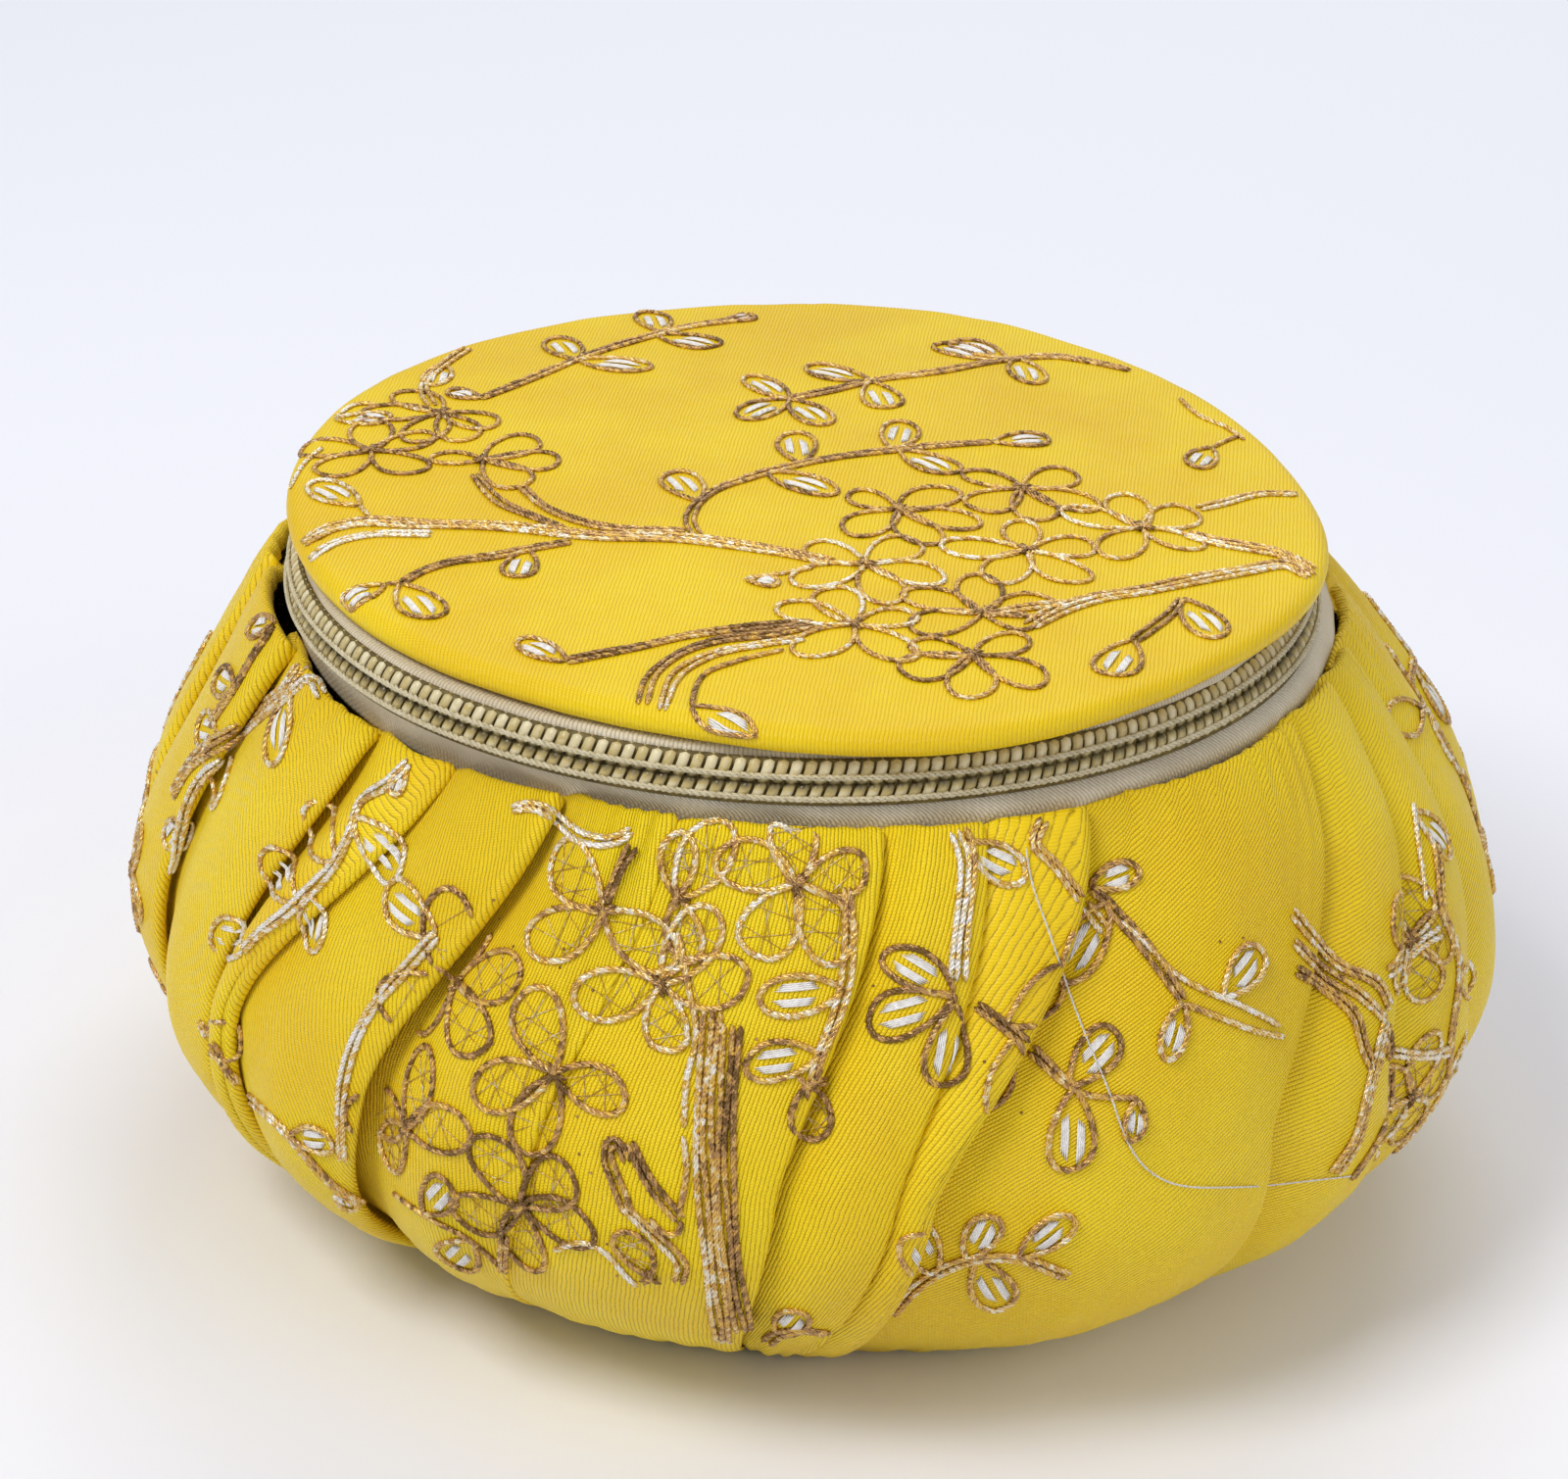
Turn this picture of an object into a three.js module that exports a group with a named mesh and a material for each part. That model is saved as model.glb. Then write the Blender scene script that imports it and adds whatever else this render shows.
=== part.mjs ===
// A round potli bag: a gathered cloth body, a coil zip and a padded lid.
// Millimetres, +Z up, origin at the centre of the flat underside of the base.
// Angles are measured about +Z from the front (-Y), growing towards +X.

import * as THREE from 'three';

// Driving sizes of the body
const SEAM_HEIGHT = 67.0;
const BELLY_RADIUS = 75.6;
const CLOTH_WALL = 1.6;
const PLEAT_DEPTH = 3.4;
const PLEAT_STEP_DEG = 1.3;
const SEAM_SHIFT = { x: -2.0, y: -3.4 };

// Driving sizes of the base
const BASE_RADIUS = 49.0;
const BASE_THICKNESS = 3.0;
const BASE_EDGE_ROUND = 0.6;

// Driving sizes of the zip
const CHAIN_RADIUS = 56.1;
const TAPE_FLARE = 1.9;
const CHAIN_RISE = 5.0;
const CHAIN_SHIFT = { x: -5.3, y: -3.9 };
const COIL_HEIGHT = 2.0;
const COIL_DEPTH = 1.5;
const COIL_ROOT = 0.45;
const TAPE_THICKNESS = 0.8;
const LOWER_TAPE_HEM = 6.0;
const UPPER_TAPE_REACH = 4.4;
const ZIP_HALF_ANGLE = 145;
const HINGE_GAP_DEG = 1;

// Driving sizes of the lid
const LID_OVERHANG = 0.3;
const LID_EDGE = 2.8;
const LID_CROWN = 2.0;
const LID_SHIFT = { x: -3.05, y: -3.6 };

// Driving sizes of the slider
const SLIDER_LENGTH = 9.0;
const SLIDER_THICKNESS = 2.0;
const SLIDER_NOSE_WIDTH = 3.6;
const SLIDER_END_INSET = 2.2;
const PULL_LENGTH = 16.0;
const PULL_WIDTH = 3.4;
const PULL_THICKNESS = 1.0;

// Clearances between pieces that touch on the real bag
const SEW_GAP = 0.3;
const CHAIN_GAP = 0.3;

// Sections of the body wall, from the top seam to the foot.
// height: share of SEAM_HEIGHT, swell: share of the way out from the seam's radius, or below
// the belly from the foot's, to BELLY_RADIUS, pleat: share of PLEAT_DEPTH, shift: share of SEAM_SHIFT
const BODY_SECTIONS = [
  { height: 1.000, swell: 0.000, pleat: 0.30, shift: 1.00 },
  { height: 0.965, swell: 0.115, pleat: 0.70, shift: 0.92 },
  { height: 0.905, swell: 0.278, pleat: 0.95, shift: 0.75 },
  { height: 0.800, swell: 0.540, pleat: 1.00, shift: 0.45 },
  { height: 0.680, swell: 0.790, pleat: 1.00, shift: 0.18 },
  { height: 0.560, swell: 0.949, pleat: 1.00, shift: 0.04 },
  { height: 0.440, swell: 1.000, pleat: 1.00, shift: 0.00 },
  { height: 0.320, swell: 0.929, pleat: 1.00, shift: 0.00 },
  { height: 0.205, swell: 0.737, pleat: 0.95, shift: 0.00 },
  { height: 0.110, swell: 0.458, pleat: 0.85, shift: 0.00 },
  { height: 0.040, swell: 0.176, pleat: 0.60, shift: 0.00 },
  { height: 0.000, swell: 0.000, pleat: 0.30, shift: 0.00 },
];

// Pleats: each row is the edge of a panel that laps over the panel on its right.
// top, middle, foot: the edge's angle in degrees at the seam, half-way and at the foot,
// depth: share of PLEAT_DEPTH, puff: how far the panel on its right swells, in the same share
const PLEATS = [
  { top: -50, middle: -58, foot: -61, depth: 1.15, puff: 0.35 },
  { top: -38, middle: -54, foot: -57, depth: 0.70, puff: 0.20 },
  { top: -25, middle: -38, foot: -45, depth: 1.25, puff: 0.30 },
  { top: -13, middle: -22, foot: -29, depth: 0.35, puff: 0.15 },
  { top: 7, middle: -3, foot: -7, depth: 0.85, puff: 0.15 },
  { top: 17, middle: 6, foot: -1, depth: 0.45, puff: 0.10 },
  { top: 28, middle: 9, foot: 3, depth: 0.95, puff: 0.35 },
  { top: 58, middle: 38, foot: 38, depth: 1.00, puff: 0.15 },
  { top: 69, middle: 52, foot: 54, depth: 1.00, puff: 0.25 },
  { top: 78, middle: 67, foot: 68, depth: 0.80, puff: 0.30 },
  { top: 94, middle: 84, foot: 83, depth: 0.90, puff: 0.25 },
  { top: 109, middle: 101, foot: 99, depth: 1.10, puff: 0.30 },
  { top: 126, middle: 117, foot: 118, depth: 0.75, puff: 0.20 },
  { top: 142, middle: 136, foot: 134, depth: 1.05, puff: 0.30 },
  { top: 158, middle: 152, foot: 155, depth: 0.90, puff: 0.25 },
  { top: 173, middle: 171, foot: 169, depth: 0.70, puff: 0.20 },
  { top: 189, middle: 187, foot: 188, depth: 1.10, puff: 0.30 },
  { top: 205, middle: 206, foot: 204, depth: 0.80, puff: 0.25 },
  { top: 221, middle: 224, foot: 223, depth: 1.05, puff: 0.30 },
  { top: 238, middle: 242, foot: 244, depth: 0.85, puff: 0.20 },
  { top: 254, middle: 257, foot: 259, depth: 1.05, puff: 0.30 },
  { top: 271, middle: 271, foot: 270, depth: 0.75, puff: 0.25 },
  { top: 290, middle: 287, foot: 284, depth: 0.90, puff: 0.30 },
];

// Columns across one panel: place from its left edge (0) to its right edge (1),
// outer: how far the outer face has risen out of the tuck, inner: the same for the inner face
const PANEL_COLUMNS = [
  { place: 0.00, outer: 0.00, inner: 0.00 },
  { place: 0.14, outer: 0.38, inner: 0.30 },
  { place: 0.36, outer: 0.78, inner: 0.70 },
  { place: 0.62, outer: 0.96, inner: 0.80 },
  { place: 0.86, outer: 1.02, inner: 0.40 },
  { place: 1.00, outer: 0.92, inner: 0.05 },
];

// The lid's outline: radius as a share of the lid's at angles about its centre
const LID_OUTLINE = [
  { angle: -165, radius: 1.000 },
  { angle: -120, radius: 0.996 },
  { angle: -85, radius: 0.984 },
  { angle: -45, radius: 0.992 },
  { angle: -15, radius: 0.996 },
  { angle: 14, radius: 1.032 },
  { angle: 45, radius: 0.986 },
  { angle: 75, radius: 0.994 },
  { angle: 106, radius: 0.966 },
  { angle: 135, radius: 0.996 },
  { angle: 165, radius: 1.032 },
];

// Rings across the lid, from the middle of its top to the middle of its underside.
// radius: share of the outline, crown: share of LID_CROWN, edge: share of LID_EDGE
const LID_RINGS = [
  { radius: 0.250, crown: 0.97, edge: 1.00 },
  { radius: 0.500, crown: 0.87, edge: 1.00 },
  { radius: 0.720, crown: 0.66, edge: 1.00 },
  { radius: 0.880, crown: 0.36, edge: 1.00 },
  { radius: 0.960, crown: 0.12, edge: 0.97 },
  { radius: 0.990, crown: 0.00, edge: 0.80 },
  { radius: 1.000, crown: 0.00, edge: 0.52 },
  { radius: 0.994, crown: 0.00, edge: 0.22 },
  { radius: 0.975, crown: 0.00, edge: 0.00 },
  { radius: 0.500, crown: 0.00, edge: 0.00 },
];

// Facets round each piece
const LID_SIDES = 60;
const BASE_SIDES = 48;
const ZIP_STEPS = 54;
const HINGE_STEPS = 14;

// Heights that follow from the driving sizes
const CHAIN_HEIGHT = SEAM_HEIGHT + CHAIN_RISE;
const LOWER_COIL_TOP = CHAIN_HEIGHT - CHAIN_GAP / 2;
const UPPER_COIL_FOOT = CHAIN_HEIGHT + CHAIN_GAP / 2;
const UPPER_COIL_TOP = UPPER_COIL_FOOT + COIL_HEIGHT;
const UPPER_TAPE_TOP = UPPER_COIL_TOP + SEW_GAP / 2;
const LID_FOOT = UPPER_TAPE_TOP + SEW_GAP;
const COIL_INNER_RADIUS = CHAIN_RADIUS - COIL_DEPTH;
const TAPE_FACE_RADIUS = COIL_INNER_RADIUS - SEW_GAP;

// Radii that follow: the wall's inner face is narrowest inside its deepest fold
const LID_RADIUS = CHAIN_RADIUS + LID_OVERHANG;
const SEAM_RADIUS = CHAIN_RADIUS + TAPE_FLARE;
const TOP_SECTION = BODY_SECTIONS[0];
const FOOT_SECTION = BODY_SECTIONS[BODY_SECTIONS.length - 1];
const DEEPEST_FOLD = PLEAT_DEPTH * Math.max(...PLEATS.map((pleat) => pleat.depth + pleat.puff / 2));
const SEAM_INNER_RADIUS = SEAM_RADIUS - DEEPEST_FOLD * TOP_SECTION.pleat - CLOTH_WALL;
const FOOT_RADIUS = BASE_RADIUS + SEW_GAP + CLOTH_WALL + DEEPEST_FOLD * FOOT_SECTION.pleat;
const BELLY_LEVEL = BODY_SECTIONS.find((section) => section.swell === 1).height;

const radians = THREE.MathUtils.degToRad;

// Materials
const clothFinish = new THREE.MeshStandardMaterial({ name: 'brocade', color: 0xeecd18, roughness: 0.5 });
const lidFinish = new THREE.MeshStandardMaterial({ name: 'yellow_satin', color: 0xf0d01c, roughness: 0.45 });
const tapeFinish = new THREE.MeshStandardMaterial({ name: 'beige_tape', color: 0xc4b99a, roughness: 0.85 });
const coilFinish = new THREE.MeshStandardMaterial({ name: 'olive_coil', color: 0xb0a36a, roughness: 0.4 });
const baseFinish = new THREE.MeshStandardMaterial({ name: 'base_cloth', color: 0xe6c21a, roughness: 0.6 });
const sliderFinish = new THREE.MeshStandardMaterial({
  name: 'slider_metal', color: 0xb59a5a, roughness: 0.35, metalness: 0.9,
});

// A point at an angle and radius about a centre, at a height
function polarPoint(angleDeg, radius, height, centre) {
  const angle = radians(angleDeg);
  return [centre.x + radius * Math.sin(angle), centre.y - radius * Math.cos(angle), height];
}

// A centre that lies a share of the way from one shift to another
function blendShift(from, to, share) {
  return { x: from.x + (to.x - from.x) * share, y: from.y + (to.y - from.y) * share };
}

const BODY_CENTRE = { x: 0, y: 0 };

// A closed body from rows of points. Each row is a closed loop of the same length, and
// the rows follow each other round a closed section, so the body is a ring.
function ringBody(rows) {
  const columns = rows[0].length;
  const points = rows.flat(2);
  const faces = [];
  rows.forEach((row, r) => {
    const next = (r + 1) % rows.length;
    for (let c = 0; c < columns; c += 1) {
      const across = (c + 1) % columns;
      const a = r * columns + c;
      const b = r * columns + across;
      const d = next * columns + c;
      const e = next * columns + across;
      faces.push(a, d, e, a, e, b);
    }
  });
  return indexedGeometry(points, faces);
}

// A closed body from rows of points that run along an open arc. Each row is the section
// at one angle, in the same order, and the first and last sections are capped.
function arcBody(sections) {
  const count = sections[0].length;
  const points = sections.flat(2);
  const faces = [];
  for (let s = 0; s < sections.length - 1; s += 1) {
    for (let p = 0; p < count; p += 1) {
      const next = (p + 1) % count;
      const a = s * count + p;
      const b = s * count + next;
      const d = (s + 1) * count + p;
      const e = (s + 1) * count + next;
      faces.push(a, e, d, a, b, e);
    }
  }
  const last = (sections.length - 1) * count;
  const half = count / 2;
  // A section is a strip: its first half runs along one face and its second half back
  for (let p = 0; p < half - 1; p += 1) {
    const q = count - 1 - p;
    faces.push(p, q, p + 1, p + 1, q, q - 1);
    faces.push(last + p, last + p + 1, last + q, last + p + 1, last + q - 1, last + q);
  }
  return indexedGeometry(points, faces);
}

function indexedGeometry(points, faces) {
  const geometry = new THREE.BufferGeometry();
  geometry.setAttribute('position', new THREE.Float32BufferAttribute(points, 3));
  geometry.setIndex(faces);
  geometry.computeVertexNormals();
  return geometry;
}

// A value between three stations of a pleat's edge, at a share of the height
function edgeAngle(pleat, heightShare) {
  const upper = Math.max(0, heightShare - 0.5) * 2;
  const lower = Math.max(0, 0.5 - heightShare) * 2;
  const towardsTop = upper * upper * (3 - 2 * upper) * 0.5 + upper * 0.5;
  const towardsFoot = lower * lower * (3 - 2 * lower) * 0.5 + lower * 0.5;
  return pleat.middle + (pleat.top - pleat.middle) * towardsTop
    + (pleat.foot - pleat.middle) * towardsFoot;
}

// The pleated wall: one loop of columns at each section, outside and inside
function bodyLoop(section, inside) {
  const height = SEAM_HEIGHT * section.height;
  const centre = blendShift(BODY_CENTRE, SEAM_SHIFT, section.shift);
  const narrow = section.height > BELLY_LEVEL ? SEAM_RADIUS : FOOT_RADIUS;
  const outerRadius = narrow + (BELLY_RADIUS - narrow) * section.swell;
  const fold = PLEAT_DEPTH * section.pleat;
  const loop = [];
  PLEATS.forEach((pleat, index) => {
    const next = PLEATS[(index + 1) % PLEATS.length];
    const turn = index + 1 < PLEATS.length ? 0 : 360;
    const start = edgeAngle(pleat, section.height) + PLEAT_STEP_DEG / 2;
    const end = edgeAngle(next, section.height) + turn - PLEAT_STEP_DEG / 2;
    PANEL_COLUMNS.forEach((column) => {
      const rise = inside ? column.inner : column.outer;
      const swell = pleat.puff * Math.sin(Math.PI * column.place) ** 2;
      const depth = fold * (pleat.depth * (1 - rise) - swell + pleat.puff / 2);
      const wall = inside ? CLOTH_WALL : 0;
      const angle = start + (end - start) * column.place;
      loop.push(polarPoint(angle, outerRadius - depth - wall, height, centre));
    });
  });
  return loop;
}

function gatheredBody() {
  const outer = BODY_SECTIONS.map((section) => bodyLoop(section, false));
  const inner = BODY_SECTIONS.map((section) => bodyLoop(section, true));
  return ringBody([...outer, ...inner.reverse()]);
}

// The base: a round stiffened disc with a soft edge, flat below
function baseDisc() {
  const profile = [
    new THREE.Vector2(0, 0),
    new THREE.Vector2(BASE_RADIUS - BASE_EDGE_ROUND, 0),
    new THREE.Vector2(BASE_RADIUS, BASE_EDGE_ROUND),
    new THREE.Vector2(BASE_RADIUS, BASE_THICKNESS - BASE_EDGE_ROUND),
    new THREE.Vector2(BASE_RADIUS - BASE_EDGE_ROUND, BASE_THICKNESS),
    new THREE.Vector2(0, BASE_THICKNESS),
  ];
  return new THREE.LatheGeometry(profile, BASE_SIDES).rotateX(Math.PI / 2);
}

// The lid's radius at an angle, smoothly between the rows of its outline
function lidRadius(angleDeg) {
  const rows = LID_OUTLINE;
  const angle = THREE.MathUtils.euclideanModulo(angleDeg - rows[0].angle, 360) + rows[0].angle;
  let left = rows.length - 1;
  rows.forEach((row, index) => {
    if (angle >= row.angle) {
      left = index;
    }
  });
  const next = rows[(left + 1) % rows.length];
  const nextAngle = left + 1 < rows.length ? next.angle : next.angle + 360;
  const share = (angle - rows[left].angle) / (nextAngle - rows[left].angle);
  const smooth = share * share * (3 - 2 * share);
  return LID_RADIUS * (rows[left].radius + (next.radius - rows[left].radius) * smooth);
}

// The lid: rings of points between the middle of its top and of its underside
function lidPanel() {
  const points = [LID_SHIFT.x, LID_SHIFT.y, LID_FOOT + LID_EDGE + LID_CROWN];
  LID_RINGS.forEach((ring) => {
    for (let side = 0; side < LID_SIDES; side += 1) {
      const angle = (360 * side) / LID_SIDES;
      const height = LID_FOOT + LID_EDGE * ring.edge + LID_CROWN * ring.crown;
      points.push(...polarPoint(angle, lidRadius(angle) * ring.radius, height, LID_SHIFT));
    }
  });
  points.push(LID_SHIFT.x, LID_SHIFT.y, LID_FOOT);
  const faces = [];
  const last = 1 + LID_RINGS.length * LID_SIDES;
  for (let side = 0; side < LID_SIDES; side += 1) {
    const across = (side + 1) % LID_SIDES;
    faces.push(0, 1 + side, 1 + across);
    for (let ring = 0; ring < LID_RINGS.length - 1; ring += 1) {
      const a = 1 + ring * LID_SIDES + side;
      const b = 1 + ring * LID_SIDES + across;
      faces.push(a, a + LID_SIDES, b + LID_SIDES, a, b + LID_SIDES, b);
    }
    const start = last - LID_SIDES;
    faces.push(start + side, last, start + across);
  }
  return indexedGeometry(points, faces);
}

// A band along an arc: its stations run down the outer face, each with its thickness inwards
function bandBody(stations, thickness, startDeg, endDeg, steps) {
  const sections = [];
  for (let step = 0; step <= steps; step += 1) {
    const angle = startDeg + ((endDeg - startDeg) * step) / steps;
    const face = stations.map((s) => polarPoint(angle, s.radius, s.height, s.centre));
    const back = stations.map((s) => {
      const drop = thickness * (s.lie ?? 0);
      const inward = thickness * (1 - (s.lie ?? 0));
      return polarPoint(angle, s.radius - inward, s.height - drop, s.centre);
    });
    sections.push([...face, ...back.reverse()]);
  }
  return arcBody(sections);
}

// The lower tape: behind the lower coil, out over the seam and down inside the body
function lowerTape() {
  const seamFace = SEAM_INNER_RADIUS - SEW_GAP;
  const coilFoot = LOWER_COIL_TOP - COIL_HEIGHT;
  const stations = [
    { radius: TAPE_FACE_RADIUS, height: LOWER_COIL_TOP - COIL_ROOT, centre: CHAIN_SHIFT },
    { radius: TAPE_FACE_RADIUS, height: coilFoot, centre: CHAIN_SHIFT },
    {
      radius: (TAPE_FACE_RADIUS + seamFace) / 2,
      height: (coilFoot + SEAM_HEIGHT) / 2,
      centre: blendShift(CHAIN_SHIFT, SEAM_SHIFT, 0.5),
    },
    { radius: seamFace, height: SEAM_HEIGHT, centre: SEAM_SHIFT },
    { radius: seamFace, height: SEAM_HEIGHT - LOWER_TAPE_HEM, centre: SEAM_SHIFT },
  ];
  return bandBody(stations, TAPE_THICKNESS, -ZIP_HALF_ANGLE, ZIP_HALF_ANGLE, ZIP_STEPS);
}

// The upper tape: behind the upper coil, then turned in under the lid
function upperTape() {
  const turnRadius = TAPE_FACE_RADIUS - TAPE_THICKNESS;
  const stations = [
    { radius: turnRadius - UPPER_TAPE_REACH, height: UPPER_TAPE_TOP, centre: CHAIN_SHIFT, lie: 1 },
    { radius: turnRadius, height: UPPER_TAPE_TOP, centre: CHAIN_SHIFT, lie: 1 },
    { radius: TAPE_FACE_RADIUS, height: UPPER_COIL_TOP - COIL_ROOT, centre: CHAIN_SHIFT, lie: 0.3 },
    { radius: TAPE_FACE_RADIUS, height: UPPER_COIL_FOOT + COIL_ROOT, centre: CHAIN_SHIFT },
  ];
  return bandBody(stations, TAPE_THICKNESS, -ZIP_HALF_ANGLE, ZIP_HALF_ANGLE, ZIP_STEPS);
}

// One row of the coil: a strip with a rounded outer face
function coilRow(footHeight) {
  const top = footHeight + COIL_HEIGHT;
  const middle = footHeight + COIL_HEIGHT / 2;
  const shoulder = CHAIN_RADIUS - COIL_ROOT;
  const sections = [];
  for (let step = 0; step <= ZIP_STEPS; step += 1) {
    const angle = -ZIP_HALF_ANGLE + (2 * ZIP_HALF_ANGLE * step) / ZIP_STEPS;
    sections.push([
      polarPoint(angle, shoulder, top, CHAIN_SHIFT),
      polarPoint(angle, CHAIN_RADIUS, middle, CHAIN_SHIFT),
      polarPoint(angle, shoulder, footHeight, CHAIN_SHIFT),
      polarPoint(angle, COIL_INNER_RADIUS, footHeight, CHAIN_SHIFT),
      polarPoint(angle, COIL_INNER_RADIUS, middle, CHAIN_SHIFT),
      polarPoint(angle, COIL_INNER_RADIUS, top, CHAIN_SHIFT),
    ]);
  }
  return arcBody(sections);
}

// The hinge behind: the cloth that joins lid and body between the ends of the zip
function backHinge() {
  const seamFace = SEAM_INNER_RADIUS - SEW_GAP;
  const turnRadius = TAPE_FACE_RADIUS - TAPE_THICKNESS;
  const stations = [
    { radius: turnRadius - UPPER_TAPE_REACH, height: UPPER_TAPE_TOP, centre: CHAIN_SHIFT, lie: 1 },
    { radius: turnRadius, height: UPPER_TAPE_TOP, centre: CHAIN_SHIFT, lie: 1 },
    { radius: TAPE_FACE_RADIUS, height: CHAIN_HEIGHT, centre: CHAIN_SHIFT },
    { radius: seamFace, height: SEAM_HEIGHT, centre: SEAM_SHIFT },
    { radius: seamFace, height: SEAM_HEIGHT - LOWER_TAPE_HEM, centre: SEAM_SHIFT },
  ];
  const start = ZIP_HALF_ANGLE + HINGE_GAP_DEG;
  return bandBody(stations, TAPE_THICKNESS, start, 360 - start, HINGE_STEPS);
}

// The slider: a block across both coils at the closed end, with a flat pull along the chain
function zipSlider() {
  const degrees = (length) => THREE.MathUtils.radToDeg(length / CHAIN_RADIUS);
  const blockEnd = ZIP_HALF_ANGLE - degrees(SLIDER_END_INSET);
  const noseEnd = blockEnd - degrees(SLIDER_LENGTH);
  const pullStart = noseEnd - degrees(PULL_THICKNESS);
  const pullEnd = pullStart - degrees(PULL_LENGTH);
  const inner = CHAIN_RADIUS + SEW_GAP;
  const outer = inner + SLIDER_THICKNESS;
  const pullInner = outer - PULL_THICKNESS;
  const blockHalf = COIL_HEIGHT + CHAIN_GAP / 2;
  const stations = [
    { angle: pullEnd, half: PULL_WIDTH / 2, inner: pullInner },
    { angle: pullStart, half: PULL_WIDTH / 2, inner: pullInner },
    { angle: noseEnd, half: SLIDER_NOSE_WIDTH / 2, inner },
    { angle: blockEnd, half: blockHalf, inner },
  ];
  return arcBody(stations.map((station) => [
    polarPoint(station.angle, outer, CHAIN_HEIGHT + station.half, CHAIN_SHIFT),
    polarPoint(station.angle, outer, CHAIN_HEIGHT - station.half, CHAIN_SHIFT),
    polarPoint(station.angle, station.inner, CHAIN_HEIGHT - station.half, CHAIN_SHIFT),
    polarPoint(station.angle, station.inner, CHAIN_HEIGHT + station.half, CHAIN_SHIFT),
  ]));
}

function piece(name, geometry, material) {
  const mesh = new THREE.Mesh(geometry, material);
  mesh.name = name;
  return mesh;
}

const bag = new THREE.Group();
bag.name = 'potli_bag';
bag.add(piece('gathered_body', gatheredBody(), clothFinish));
bag.add(piece('base_disc', baseDisc(), baseFinish));
bag.add(piece('zip_tape_lower', lowerTape(), tapeFinish));
bag.add(piece('zip_coil_lower', coilRow(LOWER_COIL_TOP - COIL_HEIGHT), coilFinish));
bag.add(piece('zip_coil_upper', coilRow(UPPER_COIL_FOOT), coilFinish));
bag.add(piece('zip_tape_upper', upperTape(), tapeFinish));
bag.add(piece('back_hinge', backHinge(), clothFinish));
bag.add(piece('zip_slider', zipSlider(), sliderFinish));
bag.add(piece('lid_panel', lidPanel(), lidFinish));

export default bag;
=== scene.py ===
"""A small round potli bag: a pleated embroidered body, a coil zip and a padded lid.

Metres, +Z up, origin at the centre of the flat underside of the base. Angles are in degrees
about +Z from the front (-Y), growing towards +X. Tables hold shares of named sizes.
"""

import logging
import math
from dataclasses import dataclass, field
from enum import Enum
from typing import Iterable, Optional, Sequence, Union

import bpy
import numpy as np
from mathutils import Matrix, Vector, noise
from mathutils.bvhtree import BVHTree


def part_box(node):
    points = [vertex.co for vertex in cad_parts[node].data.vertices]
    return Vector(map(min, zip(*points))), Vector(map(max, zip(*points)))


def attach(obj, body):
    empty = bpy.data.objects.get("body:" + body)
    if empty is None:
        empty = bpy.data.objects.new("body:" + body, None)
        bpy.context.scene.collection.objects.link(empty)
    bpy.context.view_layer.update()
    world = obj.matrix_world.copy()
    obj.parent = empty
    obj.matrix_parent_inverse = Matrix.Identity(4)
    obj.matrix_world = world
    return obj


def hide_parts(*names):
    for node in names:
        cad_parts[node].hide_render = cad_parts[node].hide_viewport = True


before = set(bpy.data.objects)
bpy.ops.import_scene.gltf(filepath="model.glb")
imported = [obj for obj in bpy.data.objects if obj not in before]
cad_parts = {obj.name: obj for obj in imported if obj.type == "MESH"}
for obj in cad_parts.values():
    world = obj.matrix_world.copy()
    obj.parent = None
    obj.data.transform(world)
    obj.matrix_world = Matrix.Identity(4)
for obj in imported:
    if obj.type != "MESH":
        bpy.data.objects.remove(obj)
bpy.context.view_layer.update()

LOG = logging.getLogger("potli")
MM = 0.001
Colour = tuple[float, float, float]
Pixel = tuple[int, int]
Pair = tuple[float, float]
Socket = bpy.types.NodeSocket
Input = Union[Socket, float, tuple]


class Tone(Enum):
    """Shades of the embroidery thread, as places on its colour ramp."""

    WHITE = 0.0
    SILVER = 0.2
    GOLD = 0.45
    TAUPE = 0.72
    DARK = 0.95


class Side(Enum):
    """The two rows of the zip's coil."""

    UPPER = "upper"
    LOWER = "lower"


def channel(value: int) -> float:
    """Turns an 8-bit display value into a linear one."""
    share = value / 255
    return share / 12.92 if share <= 0.04045 else ((share + 0.055) / 1.055) ** 2.4


def linear(red: int, green: int, blue: int) -> Colour:
    """Turns 8-bit display values into linear colour."""
    return channel(red), channel(green), channel(blue)


def polar(angle: np.ndarray, radius: np.ndarray, height: np.ndarray, centre: Sequence) -> np.ndarray:
    """Places points about a vertical axis.

    Args:
        angle: degrees from the front, growing towards +X.
        radius: distance from the axis, in metres.
        height: metres above the floor.
        centre: x and y of the axis, in metres.

    Returns:
        An array whose last axis is x, y, z.
    """
    turn = np.radians(angle)
    x = centre[0] + radius * np.sin(turn)
    y = centre[1] - radius * np.cos(turn)
    return np.stack(np.broadcast_arrays(x, y, height), axis=-1)


def smooth_rows(at: np.ndarray, stations: Sequence[float], values: Sequence[float]) -> np.ndarray:
    """Reads a short table smoothly, by a cubic through its rows.

    Args:
        at: where the table is read.
        stations: the rows' places, rising.
        values: the rows' values.

    Returns:
        The values at those places.
    """
    xs, ys = np.asarray(stations, float), np.asarray(values, float)
    slopes = np.gradient(ys, xs)
    at = np.clip(np.asarray(at, float), xs[0], xs[-1])
    left = np.clip(np.searchsorted(xs, at, side="right") - 1, 0, len(xs) - 2)
    span = xs[left + 1] - xs[left]
    t = (at - xs[left]) / span
    rise = ys[left + 1] - ys[left]
    curve = slopes[left] * span * t * (1 - t) ** 2 - slopes[left + 1] * span * t * t * (1 - t)
    return ys[left] + rise * t * t * (3 - 2 * t) + curve


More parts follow.
